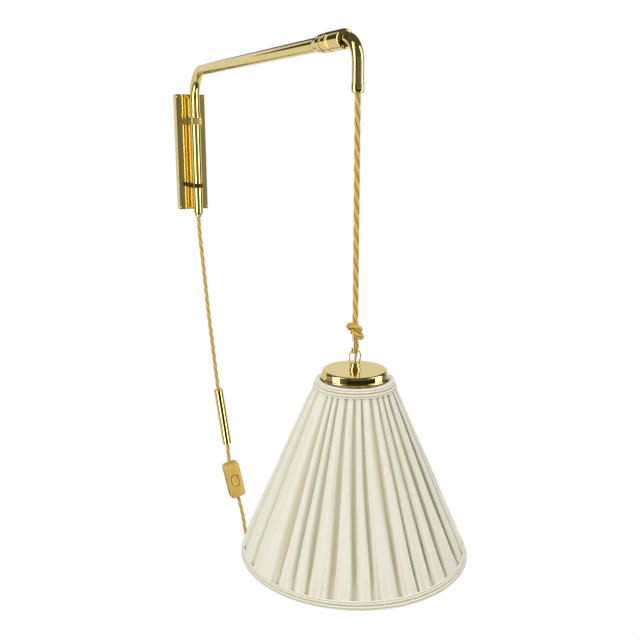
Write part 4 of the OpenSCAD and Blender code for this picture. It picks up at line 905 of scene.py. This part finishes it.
def pleat_point(t, i, degrees, s, valley):
    """A point of the cover at the share t of its height and s of pleat i: angle, radius and how far it lies in, which
    is painted on as crease shade.
    """
    narrow = valley * (0.55 + 0.45 * math.sin(math.pi * min(1.0, t * 1.15) ** 0.8))
    deep = fold_height(s, narrow * (0.8 + 0.25 * wobble(i * 1.9, 7.3, t * 1.4)))
    amount = down(t) * (0.85 + 0.35 * wobble(i * 2.3, 1.1, 0.0))
    leftward = ((degrees + 117 + 180) % 360 - 180) / 45
    soft = 0.35 * wobble(degrees * 0.05, t * 4.0, 3.0) * gentle(0.02, 0.15, t)
    soft += 1.5 * math.exp(-leftward ** 2) * gentle(0.0, 0.15, t) * (1 - gentle(0.85, 1.0, t))
    crease = 0.7 * wobble(degrees * 0.42, t * 0.8, 11.0) * gentle(0.02, 0.2, t)
    lower = math.exp(-(1.0 - t) / 0.20) * (0.6 + wobble(degrees * 0.11, 5.0, 0.0))
    upper = math.exp(-t / 0.05) * 0.45
    ripple = math.sin(math.radians(degrees * 104 + 110 * wobble(degrees * 0.2, 0.0, 9.0)))
    radius = cloth_radius(COVER_TOP - COVER_HEIGHT * t)
    radius += amount * (deep - 0.35) + soft + crease + ripple * (1.0 * lower + 0.55 * upper)
    sway = 0.9 * wobble(i * 3.7, t * 2.2, 0.4) * gentle(0.0, 0.2, t) * (1 - gentle(0.8, 1.0, t))
    # Painted crease shade: the cloth is darkened where it lies in, in the valleys and under the creases and ripples,
    # and more near the top ring.
    inside = 0.5 - 0.5 * deep - 0.5 * crease - 0.55 * ripple * (lower + upper)
    return degrees + sway, radius, min(1.0, max(0.0, inside * (1.0 + 0.6 * math.exp(-t / 0.12))))


bm = bmesh.new()
# The "fold" attribute carries painted crease shade into the cloth's colour.
crease_shade_layer = bm.verts.layers.float.new("fold")
ring = first_ring(bm, len(columns))
for row in range(55):
    if row:
        ring = next_ring(bm, ring)
    t = row / 54
    for vert, column in zip(ring, columns):
        degrees, radius, vert[crease_shade_layer] = pleat_point(t, *column)
        x, y = polar(radius, degrees - 90)
        vert.co = (x, y, COVER_TOP - COVER_HEIGHT * t)

# %% Ivory cloth
def hung(bm, name, material, thickness):
    """Keep a cloth that is open at both ends, and give it its thickness inwards."""
    outwards(bm)
    piece = keep(bm, name, material, on_pendant, merge=False, crisp=70)
    thick = piece.modifiers.new("cloth", "SOLIDIFY")
    thick.thickness = thickness
    thick.offset = -1.0
    return piece


# The ivory cloth darkens towards olive by the "fold" attribute: painted crease shade in the pleat valleys.
ivory = woven("ivory_cloth", 5200.0, (0.69, 0.665, 0.545), (0.78, 0.76, 0.65), 0.0001, 0.5,
              ("fold", 0.72, (0.43, 0.40, 0.215)), Roughness=0.85, Sheen_Weight=0.15, Sheen_Roughness=0.5)
cover = hung(bm, "pleated_cover", ivory, 0.0004)
fit(cover, "shade", "fabric", "shade_cover")

# %% [markdown]
# ## Trims, frame and lining
# Both edges of the cover are bound with an ivory tape that is sewn down in lines over round pipings, and lapped over
# itself at one seam in front. Inside, a white wire frame of two rings and twelve ribs holds a smooth lining, which
# sinks a little between the ribs.

# %% Trims
# Where the grooves between the pipings are painted darker as shade, as shares of the tape's height.
GROOVE_SHADE_LINES = (0.17, 0.45, 0.55, 0.84)
TAPE_OUT = 1.15


def tape(z_high, z_low, lines, lift=0.0, inside=None):
    """The closed section of a tape that lies on the cone, with pipings at the given shares of its height."""
    top = z_high - 1.2
    points = [(cloth_radius(z_low) + 0.75, z_low), (cloth_radius(top) + 0.75, top)]
    points += [(inside, top), (inside, z_high)] if inside else [(cloth_radius(z_high) + 0.75, z_high)]
    count = 28
    for k in range(count + 1):
        t = k / count
        z = z_high + (z_low - z_high) * t
        proud = TAPE_OUT + lift
        for at, size in lines:
            off = (t - at) * (z_high - z_low) / size
            if abs(off) < 1.0:
                proud = max(proud, TAPE_OUT + lift + 1.5 * size * math.sqrt(1.0 - off * off))
        points.append((cloth_radius(z) + proud, z))
    return points


# The tape darkens by the "sewn" attribute: painted shade in the grooves between the pipings, along the sewn lines.
ivory_tape = woven("ivory_tape", 3800.0, (0.68, 0.65, 0.52), (0.80, 0.775, 0.665), 0.00015, 0.6,
                   ("sewn", 1.0, (0.32, 0.25, 0.12)), Roughness=0.8, Sheen_Weight=0.15)


def trim(name, z_high, z_low, lines, seam, inside=None, droop=0.0):
    """A sewn tape with its lapped end. The droop lets the lower edge hang a little on one side."""
    whole = turned(tape(z_high, z_low, lines, 0.0, inside), closed=True, steps=180)
    lap = bmesh.new()
    verts = [lap.verts.new((0.0, -radius, z)) for radius, z in tape(z_high + 0.05, z_low - 0.05, lines, 0.35)]
    lap.faces.new(verts)
    moved(lap, rotate(seam, "Z"))
    spun(lap, lap.verts[:] + lap.edges[:] + lap.faces[:], 6.0, 4)
    both = joined(whole, merged(lap))
    # Painted groove shade: how much each point lies in a groove between the pipings.
    groove_shade_layer = both.verts.layers.float.new("sewn")
    for vert in both.verts:
        share = (z_high - vert.co.z) / (z_high - z_low)
        pull = sum(math.exp(-((share - at) / 0.035) ** 2) for at in GROOVE_SHADE_LINES)
        vert[groove_shade_layer] = min(0.6, 0.75 * pull)
        hang = droop * share * (0.6 + 0.4 * math.cos(math.atan2(vert.co.x, -vert.co.y) - math.radians(35)))
        vert.co = (vert.co.x * (1 + 0.004 * hang), vert.co.y * (1 + 0.004 * hang), vert.co.z - hang)
    return keep(both, name, ivory_tape, on_pendant, merge=False, crisp=50)


top_trim = trim("top_trim", -215.9, -224.4, [(0.07, 0.6), (0.31, 0.7), (0.50, 0.2), (0.69, 0.7), (0.94, 0.5)],
                seam=-3.0, inside=36.2)
bottom_trim = trim("bottom_trim", -401.3, -407.3, [(0.07, 0.5), (0.31, 0.6), (0.50, 0.2), (0.69, 0.6), (0.93, 0.5)],
                   seam=-7.0, droop=2.2)
fit(top_trim, "shade", "fabric", "top_trim")
fit(bottom_trim, "shade", "fabric", "bottom_trim")

# %% Lining
def frame_radius(z):
    """The radius of the wire frame at a height, in millimetres."""
    return 36.9 + (-219.5 - z) * 0.4168


RIBS = 12
white_cloth = woven("white_lining", 4200.0, (0.74, 0.72, 0.64), (0.84, 0.82, 0.75), 0.00008, 0.4,
                    Roughness=0.8, Sheen_Weight=0.1)
around, rows = 144, 24
sections = []
for row in range(rows + 1):
    z = -221.8 - 181.1 * row / rows
    sections.append([])
    for k in range(around):
        between = 0.5 - 0.5 * math.cos(2 * math.pi * (k / around * RIBS - 0.5))
        radius = frame_radius(z) - 1.45 - 1.1 * between * math.sin(math.pi * row / rows)
        sections[-1].append((*polar(radius, 360 * k / around), z))
lining = hung(stacked(sections, caps=False), "lining", white_cloth, 0.0006)
fit(lining, "shade", "lining", "shade_lining")

# %% Wire frame
enamel = grainy("white_enamel", 700.0, 60.0, (0.72, 0.70, 0.64), (0.85, 0.84, 0.80), 0.00006, 0.5,
                Roughness=0.35, Coat_Weight=0.3)
for name, node, z in (("top_wire", "top_ring", -219.5), ("bottom_wire", "bottom_ring", -405.2)):
    wire = turned(ring_section(frame_radius(z), z, 1.5, 20), closed=True, steps=144)
    fit(keep(wire, name, enamel, on_pendant), "shade", "white_wire", node)
ribs = []
for i in range(RIBS):
    degrees = 360 / RIBS * (i + 0.5)
    ends = [(*polar(frame_radius(z), degrees), z) for z in (-221.0, -403.8)]
    ribs.append(round_wire(ends, 1.0, 12, (*polar(1.0, degrees - 90), 0)))
rib_piece = keep(joined(*ribs), "shade_ribs", enamel, on_pendant, merge=False, crisp=50)
fit(rib_piece, "shade", "white_wire", "shade_ribs")

# %% [markdown]
# ## Lampholder and bulb
# Under the cap a brass holder closes over a ceramic insert, and an opal bulb screws into it. They are only seen from
# below, through the open shade. The bulb's cap has a rolled thread, which is drawn as a wavy line before it is spun.

# %% Lampholder
holder_line = [(5.1, -221.3), (7.5, -221.3), (7.5, -228.3), (14, -231.3), (19, -236.3), (20, -243.3), (20, -244.0),
               (20.5, -244.4), (20.5, -246.0), (20, -246.4), (20, -279.6), (20.4, -280.2), (20.3, -281.1),
               (19.2, -281.3), (19, -243.3), (18, -236.8), (13, -232.8), (5.1, -229.8)]
fit(lathed("lampholder", holder_line, 0.8, brass, on_pendant), "shade", "brass", "lampholder")

# %% Bulb
opal = grainy("opal_glass", 300.0, 22.0, (0.80, 0.79, 0.75), (0.88, 0.87, 0.84),
              Roughness=0.12, Coat_Weight=0.6, Coat_Roughness=0.05)
globe_line = [(0.0, -350.6)]
globe_line += [(r, -320.6 + z) for r, z in (polar(30.0, 10 * k - 90) for k in range(1, 13))]
globe_line += [(22.0, -298.0), (17.8, -291.0), (15.0, -286.0), (14.2, -284.2), (12.6, -283.0), (0.0, -283.0)]
fit(keep(turned(globe_line), "bulb_glass", opal, on_pendant), "shade", "bulb", "bulb")
thread = [(0.0, -258.6), (4.0, -258.6), (4.0, -260.2), (9.2, -261.6), (12.4, -263.2)]
thread += [(12.75 + 0.4 * math.sin(2 * math.pi * k / 8), -263.8 - 2.2 * k / 8) for k in range(57)]
thread += [(12.6, -281.0), (13.4, -283.2), (13.2, -284.6), (0.0, -284.6)]
fit(keep(turned(thread, steps=72), "bulb_cap", nickel, on_pendant), "shade", "steel")

# %% [markdown]
# ## Counterweight, switch and plug
# The weight is a length of polished tube filled with lead-free brass, and it keeps the lead straight under the arm.
# The switch is two shells of gold plastic with an oval rocker. Its outline is a circle pulled apart into a rounded
# box, and the oval recess in its face is another one. The same ring of points is extruded through all of them.

# %% Counterweight
weight_line = [(3.4, 0.0), (6.2, 0.0), (6.45, -0.25), (6.7, 0.0), (7.5, 0.0), (7.5, -100), (6.7, -100),
               (6.45, -99.75), (6.2, -100), (3.4, -100)]
weight = lathed("counterweight", weight_line, 0.35, brass, on_weight)
fit(weight, "lead", "brass", "counterweight", "weight_plugs")
screw_place = on_weight @ move(7.45, 0, -50) @ rotate(90, "Y")
weight_screw = keep(grub_screw(1.5, 2.5, 0.9), "weight_screw", steel, screw_place)
fit(weight_screw, "lead", "steel")

# %% Gold plastic
gold_plastic, tree, shader, place = new_material("gold_plastic", Metallic=0.35, Coat_Weight=0.3, Coat_Roughness=0.2)
spots = use_group(tree, grain, place, Size=1500.0, Cloud=55.0)
# Painted shade: the plastic darkens to brown as its surface turns away from the view, towards the outlines of the
# switch and plug.
painted_rim_shade = add(tree, "ShaderNodeLayerWeight", Blend=0.35)
colour = blend_colours(tree, spots.outputs["Cloud"], (0.66, 0.41, 0.06), (0.80, 0.54, 0.12))
colour = blend_colours(tree, maths(tree, "POWER", painted_rim_shade.outputs["Facing"], 1.3), colour, (0.22, 0.12, 0.012))
feed(tree, shader.inputs["Base Color"], colour)
feed(tree, shader.inputs["Roughness"], maths(tree, "MULTIPLY_ADD", spots.outputs["Cloud"], 0.3, 0.28))
bumped(tree, shader, spots.outputs["Height"], 0.00006, 0.6)

# %% Switch
SWITCH_X, SWITCH_Y, SWITCH_Z = 13.5, 8.0, 33.0
RIM = ((1.9, 0.0), (1.6, 0.05), (0.35, 1.3), (0.05, 1.75), (0.0, 2.2))


def pulled(radius, half_x, half_y, segments=64):
    """A circle, pulled apart to a rounded box or an oval of the given half sizes, as points in order."""
    out = []
    for k in range(segments):
        x, y = polar(radius, 360 * (k + 0.5) / segments)
        out.append((x + math.copysign(half_x - radius, x), y + math.copysign(half_y - radius, y)))
    return out


def upright(radius, half_x, half_z, y):
    """A pulled circle that faces the room, round the middle of the switch."""
    return [(x, y, z - SWITCH_Z) for x, z in pulled(radius, half_x, half_z)]


def shell(inset, y, radius=None):
    """The outline of the switch, drawn in by the inset."""
    return upright(radius or 6.0 - 0.8 * inset, SWITCH_X - inset, SWITCH_Z - inset, y)


def ovals(longer, *sizes):
    """Upright ovals from pairs of half width and depth, all longer than wide by the same amount."""
    return [upright(half, half, half + longer, y) for half, y in sizes]


sections = ovals(5.2, (5.4, -5.6), (6.45, -6.2), (6.6, -7.1), (7.6, -7.3), (7.8, -7.9), (7.95, -8.0))
sections += [shell(inset, depth - SWITCH_Y) for inset, depth in RIM]
sections += [shell(0.0, -0.7), shell(0.4, -0.3, 5.6), shell(0.4, 0.0, 5.6)]
front = keep(stacked(sections), "switch_front", gold_plastic, on_switch, crisp=25)
fit(front, "lead", "gold_plastic", "switch_front")

sections = [shell(0.4, 0.05, 5.6), shell(0.4, 0.3, 5.6), shell(0.0, 0.7)]
sections += [shell(inset, SWITCH_Y - depth) for inset, depth in reversed(RIM)]
back = keep(stacked(sections), "switch_back", gold_plastic, on_switch, crisp=25)
fit(back, "lead", "gold_plastic", "switch_back")

# %% Rocker
dome = stacked(ovals(3.7, (6.0, -4.5), (6.1, -8.3), (5.95, -8.9), (5.5, -9.3), (4.8, -9.4), (3.8, -9.2)))
ring_line = eased([(2.9, 0.0), (3.0, 0.45), (3.7, 0.6), (4.4, 0.3), (4.5, -0.5), (2.9, -0.5)], 0.15, closed=True)
raised_ring = moved(turned(ring_line, closed=True, steps=48), move(0, -8.85, -37.2) @ rotate(90, "X"))
rocker = keep(joined(merged(dome), raised_ring), "switch_rocker", gold_plastic, on_switch, crisp=30, merge=False)
fit(rocker, "rocker", "gold_plastic", "switch_rocker")

# %% Plug, pins and boot
sections = []
for z, grow in ((-22.0, -1.6), (-22.3, -0.8), (-23.2, -0.2), (-24.5, 0.0), (-54.0, 0.0), (-55.4, -0.35), (-56.0, -1.2)):
    sections.append([(x, y, z) for x, y in pulled(5.0 + 0.6 * grow, 17.5 + grow, 6.8 + grow, 48)])
plug = keep(stacked(sections), "plug_body", gold_plastic, on_plug)
fit(plug, "lead", "gold_plastic", "plug_body")

pin_line = [(0, -75.0), (1.0, -75.0), (1.6, -74.7), (1.95, -74.0), (2.0, -73.4), (2.0, -50.0), (0, -50.0)]
pins = [moved(turned(pin_line, steps=32), move(x, 0, 0)) for x in (-9.3, 9.3)]
pin_piece = keep(joined(*pins), "plug_pins", nickel, on_plug, merge=False)
fit(pin_piece, "lead", "steel", "plug_pins")

boot_line = [(3.2, 0.0), (3.7, 0.0)]
for k in range(6):
    z = -1.5 - 3.2 * k
    r = 4.0 + 0.27 * k
    boot_line += [(r, z), (r, z - 1.9), (r - 0.5, z - 2.2), (r - 0.5, z - 2.9)]
boot_line += [(5.5, -20.8), (5.5, -22.0), (3.2, -22.0)]
boot = keep(turned(eased(boot_line, 0.15, 2, closed=True), closed=True, steps=48), "plug_boot", gold_plastic, on_plug)
fit(boot, "lead", "gold_plastic", "plug_boot")

# %% Coil tie
leather = grainy("tie_leather", 900.0, 90.0, (0.10, 0.045, 0.018), (0.19, 0.09, 0.035), 0.0003, 0.7, Roughness=0.55)
inner, outer = COIL_R - COIL_STEP * COIL_TURNS / 2 - CORD_R - 0.6, COIL_R + CORD_R + 0.6
middle_z = COIL_Z + (inner + outer) / 2
half_y, half_z = (COIL_STEP + 2 * CORD_R + 1.2) / 2, (outer - inner) / 2
sections = []
for x, grow in ((-4.5, 0.0), (-4.5, 0.9), (-4.2, 1.2), (4.2, 1.2), (4.5, 0.9), (4.5, 0.0), (-4.5, 0.0)):
    sections.append([(COIL_X + x, LEAD_Y + COIL_STEP / 2 + y, middle_z + z)
                     for y, z in pulled(3 + grow, half_y + grow, half_z + grow)])
tie = keep(stacked(sections, caps=False), "coil_tie", leather)
fit(tie, "lead", "leather", "coil_tie")

# %% [markdown]
# ## What stays from the frame
# A few inner pieces keep the frame's own shapes: the saddles and screws behind the straps, the bushes, and the fittings
# between the cap and the lampholder. They only take their finishes.

# %% Finishes for the frame's own pieces
nylon = grainy("white_nylon", 900.0, 80.0, (0.70, 0.69, 0.66), (0.82, 0.81, 0.78), 0.00005, 0.4, Roughness=0.45)
ceramic = grainy("glazed_ceramic", 250.0, 35.0, (0.74, 0.72, 0.67), (0.84, 0.83, 0.80), 0.00008, 0.3,
                 Roughness=0.2, Coat_Weight=0.5, Coat_Roughness=0.08)
for finish, names in ((dull_brass, "lower_saddle upper_saddle"), (brass, "wall_box"), (ceramic, "holder_insert"),
                      (steel, "saddle_screws switch_contacts nipple spacer_sleeve spider lock_nut"),
                      (nylon, "foot_bush collet guide_bush mouth_bush")):
    for name in names.split():
        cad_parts[name].data.materials.clear()
        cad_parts[name].data.materials.append(finish)
        print(name, "keeps the frame's shape in", finish.name)

# %% Cord inside the tubes
MEET_Y = TUBE_Y - 180.0


def straight(start, end, step=8.0):
    """Points along a straight run, without its last one."""
    count = max(1, round((Vector(end) - Vector(start)).length / step))
    return [Vector(start).lerp(Vector(end), k / count) for k in range(count)]


def arc(y, z, radius, first, last):
    """Points round a bend in the YZ plane, without the last one, between two angles in degrees."""
    return [Vector((0, y + radius * math.cos(math.radians(a)), z + radius * math.sin(math.radians(a))))
            for a in range(first, last, 6)]


end = (0, MEET_Y + 0.3, ARM_Z)
inner_points = straight((0, TUBE_Y, -100.7), (0, TUBE_Y, ARM_Z - ELBOW_R))
inner_points += arc(TUBE_Y - ELBOW_R, ARM_Z - ELBOW_R, ELBOW_R, 0, 90)
inner_points += straight((0, TUBE_Y - ELBOW_R, ARM_Z), end) + [Vector(end)]
in_arm, _ = laid_cord("cord_in_arm", smooth_route(inner_points, 4.0), sides=18, first=(1, 0, 0))
fit(in_arm, "arm", "cord", "arm_cord")

end = (0, PENDANT_Y, 80.0)
inner_points = straight((0, MEET_Y, ARM_Z), (0, GOOSE_BEND_Y, ARM_Z))
inner_points += arc(GOOSE_BEND_Y, ARM_Z - GOOSE_R, GOOSE_R, 90, 180)
inner_points += straight((0, PENDANT_Y, ARM_Z - GOOSE_R), end) + [Vector(end)]
in_goose, _ = laid_cord("cord_in_gooseneck", smooth_route(inner_points, 4.0), sides=18, first=(1, 0, 0))
fit(in_goose, "gooseneck", "cord", "gooseneck_cord")

in_weight, _ = laid_cord("cord_in_weight", smooth_route(flat([(24.2, -396), (37.1, -495.2)]), 4.0), sides=18)
fit(in_weight, "lead", "cord")
holder_wire = keep(round_wire([(0, 0, -200.9), (0, 0, -242.9)], 1.0), "holder_cord", gold_cord, on_pendant)
fit(holder_wire, "shade", "cord", "holder_cord")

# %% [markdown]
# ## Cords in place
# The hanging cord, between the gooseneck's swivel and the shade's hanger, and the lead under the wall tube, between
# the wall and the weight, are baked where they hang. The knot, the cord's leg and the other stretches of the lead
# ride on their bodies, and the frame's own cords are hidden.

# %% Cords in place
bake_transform(pendant_cord)
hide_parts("pendant_cord")
fit(knot, "hanger", "cord", "knot")
fit(leg, "hanger", "cord", "cord_leg")

piece, path, length = stretches["upper_lead"]
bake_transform(piece)
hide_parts("lead_upper")
piece, path, length = stretches["middle_lead"]
fit(piece, "lead", "cord", "lead_middle")
piece, path, length = stretches["long_lead"]
fit(piece, "lead", "cord", "lead_lower", "lead_coil", "lead_tail")

# %% [markdown]
# ## A pale studio
# The background is plain white, as in the picture, and so is the floor far below. Polished brass only looks like
# brass when it has something dark to mirror, so a large surround stands round the lamp that only reflections see:
# dark in front, pale behind. Two tall bright boards stand near the lamp, one to the left and one to the right, and
# paler ones behind it, with a dark flag above each.

# %% Stage helpers
def staged(bm, name, paint, place=(0, 0, 0), hidden=("camera", "diffuse", "transmission", "volume_scatter", "shadow")):
    """Make a bmesh in metres a part of the stage, hidden from some kinds of rays."""
    mesh = bpy.data.meshes.new(name)
    bm.to_mesh(mesh)
    bm.free()
    mesh.materials.append(paint)
    piece = bpy.data.objects.new(name, mesh)
    piece.location = place
    scene.collection.objects.link(piece)
    for ray in hidden:
        setattr(piece, "visible_" + ray, False)


def glowing(name, strength):
    """A material that only glows. It hands back the material, its tree and the glow."""
    paint = bpy.data.materials.new(name)
    paint.use_nodes = True
    tree = paint.node_tree
    tree.nodes.remove(tree.nodes["Principled BSDF"])
    glow = add(tree, "ShaderNodeEmission", Strength=strength)
    feed(tree, tree.nodes["Material Output"].inputs["Surface"], glow.outputs[0])
    return paint, tree, glow


def seen_plainly(tree):
    """1 for rays from the camera, off a mirror or through glass, and 0 for the light that falls on things."""
    rays = add(tree, "ShaderNodeLightPath").outputs
    mirrored = maths(tree, "MAXIMUM", rays["Is Glossy Ray"], rays["Is Transmission Ray"])
    return maths(tree, "MAXIMUM", rays["Is Camera Ray"], mirrored)


# %% Floor and world
bm = bmesh.new()
bmesh.ops.create_grid(bm, x_segments=1, y_segments=1, size=8.0)
moved(bm, move(0, 0, -1.5))
floor_paint, tree, shader, _ = new_material("white_floor", Base_Color=(0.8, 0.8, 0.8, 1.0), Roughness=0.9)
glow = add(tree, "ShaderNodeEmission", Strength=1.0)
mix = add(tree, "ShaderNodeMixShader")
for slot, value in zip(mix.inputs, (seen_plainly(tree), shader.outputs[0], glow.outputs[0])):
    feed(tree, slot, value)
feed(tree, tree.nodes["Material Output"].inputs["Surface"], mix.outputs[0])
staged(bm, "floor", floor_paint, hidden=("glossy",))

world = bpy.data.worlds.new("white_room")
scene.world = world
world.use_nodes = True
tree = world.node_tree
sky = tree.nodes["Background"]
feed(tree, sky.inputs["Color"], (1.0, 1.0, 1.0, 1.0))
feed(tree, sky.inputs["Strength"], maths(tree, "MULTIPLY_ADD", seen_plainly(tree), 0.45, 0.55))
scene.view_settings.view_transform = "Standard"

# %% Surround that only reflections see
bm = bmesh.new()
bmesh.ops.create_uvsphere(bm, u_segments=64, v_segments=32, radius=12.0)
bmesh.ops.reverse_faces(bm, faces=bm.faces)
paint, tree, glow = glowing("studio_surround", 3.0)
where = add(tree, "ShaderNodeSeparateXYZ", Vector=add(tree, "ShaderNodeTexCoord").outputs["Object"]).outputs
azimuth = maths(tree, "ARCTAN2", where[0], maths(tree, "MULTIPLY", where[1], -1.0))
share = maths(tree, "MULTIPLY_ADD", azimuth, 0.5 / math.pi, 0.5)
flat_reach = maths(tree, "SQRT", maths(tree, "ADD", *(maths(tree, "POWER", where[k], 2.0) for k in (0, 1))))
height = maths(tree, "DEGREES", maths(tree, "ARCTAN2", where[2], flat_reach))


def round_greys(stops):
    """A grey for each direction of the plan: 0 degrees is the camera's side, 90 is the right."""
    node = add(tree, "ShaderNodeValToRGB")
    tree.links.new(share, node.inputs["Fac"])
    ramp = node.color_ramp
    while len(ramp.elements) < len(stops):
        ramp.elements.new(0.5)
    for element, (degrees, grey) in zip(ramp.elements, stops):
        element.position = 0.5 + degrees / 360
        element.color = (grey, grey, grey, 1.0)
    return node.outputs["Color"]


def above(low, high, under, over):
    """Change from one colour to another between two elevations in degrees."""
    rise = add(tree, "ShaderNodeMapRange", Value=height, From_Min=low, From_Max=high, To_Min=0.0, To_Max=1.0)
    return blend_colours(tree, rise.outputs[0], under, over)


level_round = round_greys([(-180, 0.25), (-151, 0.25), (-146, 0.02), (-129, 0.02), (-122, 0.06), (-109, 0.06),
                           (-100, 0.04), (-50, 0.02), (-40, 0.05), (10, 0.05), (15.5, 0.055), (16.8, 0.085),
                           (46, 0.085), (60, 0.02), (103, 0.02), (108, 0.25), (180, 0.25)])
low_round = round_greys([(-180, 0.16), (-110, 0.10), (-60, 0.03), (-48, 0.008), (46, 0.008), (60, 0.03), (110, 0.10),
                         (180, 0.16)])
below = above(-10.0, -8.0, low_round, level_round)
feed(tree, glow.inputs["Color"], above(21.0, 29.0, below, (0.03, 0.03, 0.03)))
staged(bm, "surround", paint, (0.0, -0.35, 0.0))

# %% Boards that only reflections see
def board(name, start, end, low, high, level):
    """An upright glowing board between two points of the plan, in metres, seen only in polished metal."""
    bm = bmesh.new()
    bmesh.ops.create_grid(bm, x_segments=1, y_segments=1, size=1.0)
    for vert in bm.verts:
        x, y = start if vert.co.x < 0 else end
        vert.co = (x, y, low if vert.co.y < 0 else high)
    staged(bm, name, glowing(name + "_glow", level)[0])


board("left_board", (-0.497, -0.675), (-0.80, -0.312), -1.4, 1.1, 3.0)
board("right_board", (0.552, -1.076), (0.90, -0.762), -1.4, 1.1, 3.0)
board("back_board_left", (-0.50, 0.12), (-0.06, 0.12), -0.9, 0.6, 0.8)
board("back_board_right", (0.06, 0.12), (1.2, 0.12), -0.9, 0.6, 0.8)
board("dark_flag", (0.05, 0.11), (1.2, 0.11), 0.17, 1.0, 0.05)
board("dark_flag_left", (-0.55, 0.11), (-0.15, 0.11), 0.20, 1.0, 0.05)

# %% Lamps
def softbox(name, place, aim, size, power):
    """A large soft lamp that points at a spot."""
    data = bpy.data.lights.new(name, "AREA")
    data.shape = "SQUARE"
    data.size = size
    data.energy = power
    lamp = bpy.data.objects.new(name, data)
    scene.collection.objects.link(lamp)
    lamp.location = place
    lamp.rotation_euler = (Vector(aim) - Vector(place)).to_track_quat("-Z", "Y").to_euler()
    lamp.visible_glossy = False
    lamp.visible_camera = False
    return lamp


softbox("left_softbox", (-2.2, -1.6, 0.8), (0, -0.4, -0.2), 1.2, 34.0)
softbox("right_softbox", (1.9, -2.2, 0.9), (0, -0.4, -0.2), 1.2, 22.0)
softbox("top_softbox", (0.0, -0.8, 2.2), (0, -0.4, -0.2), 1.4, 16.0)
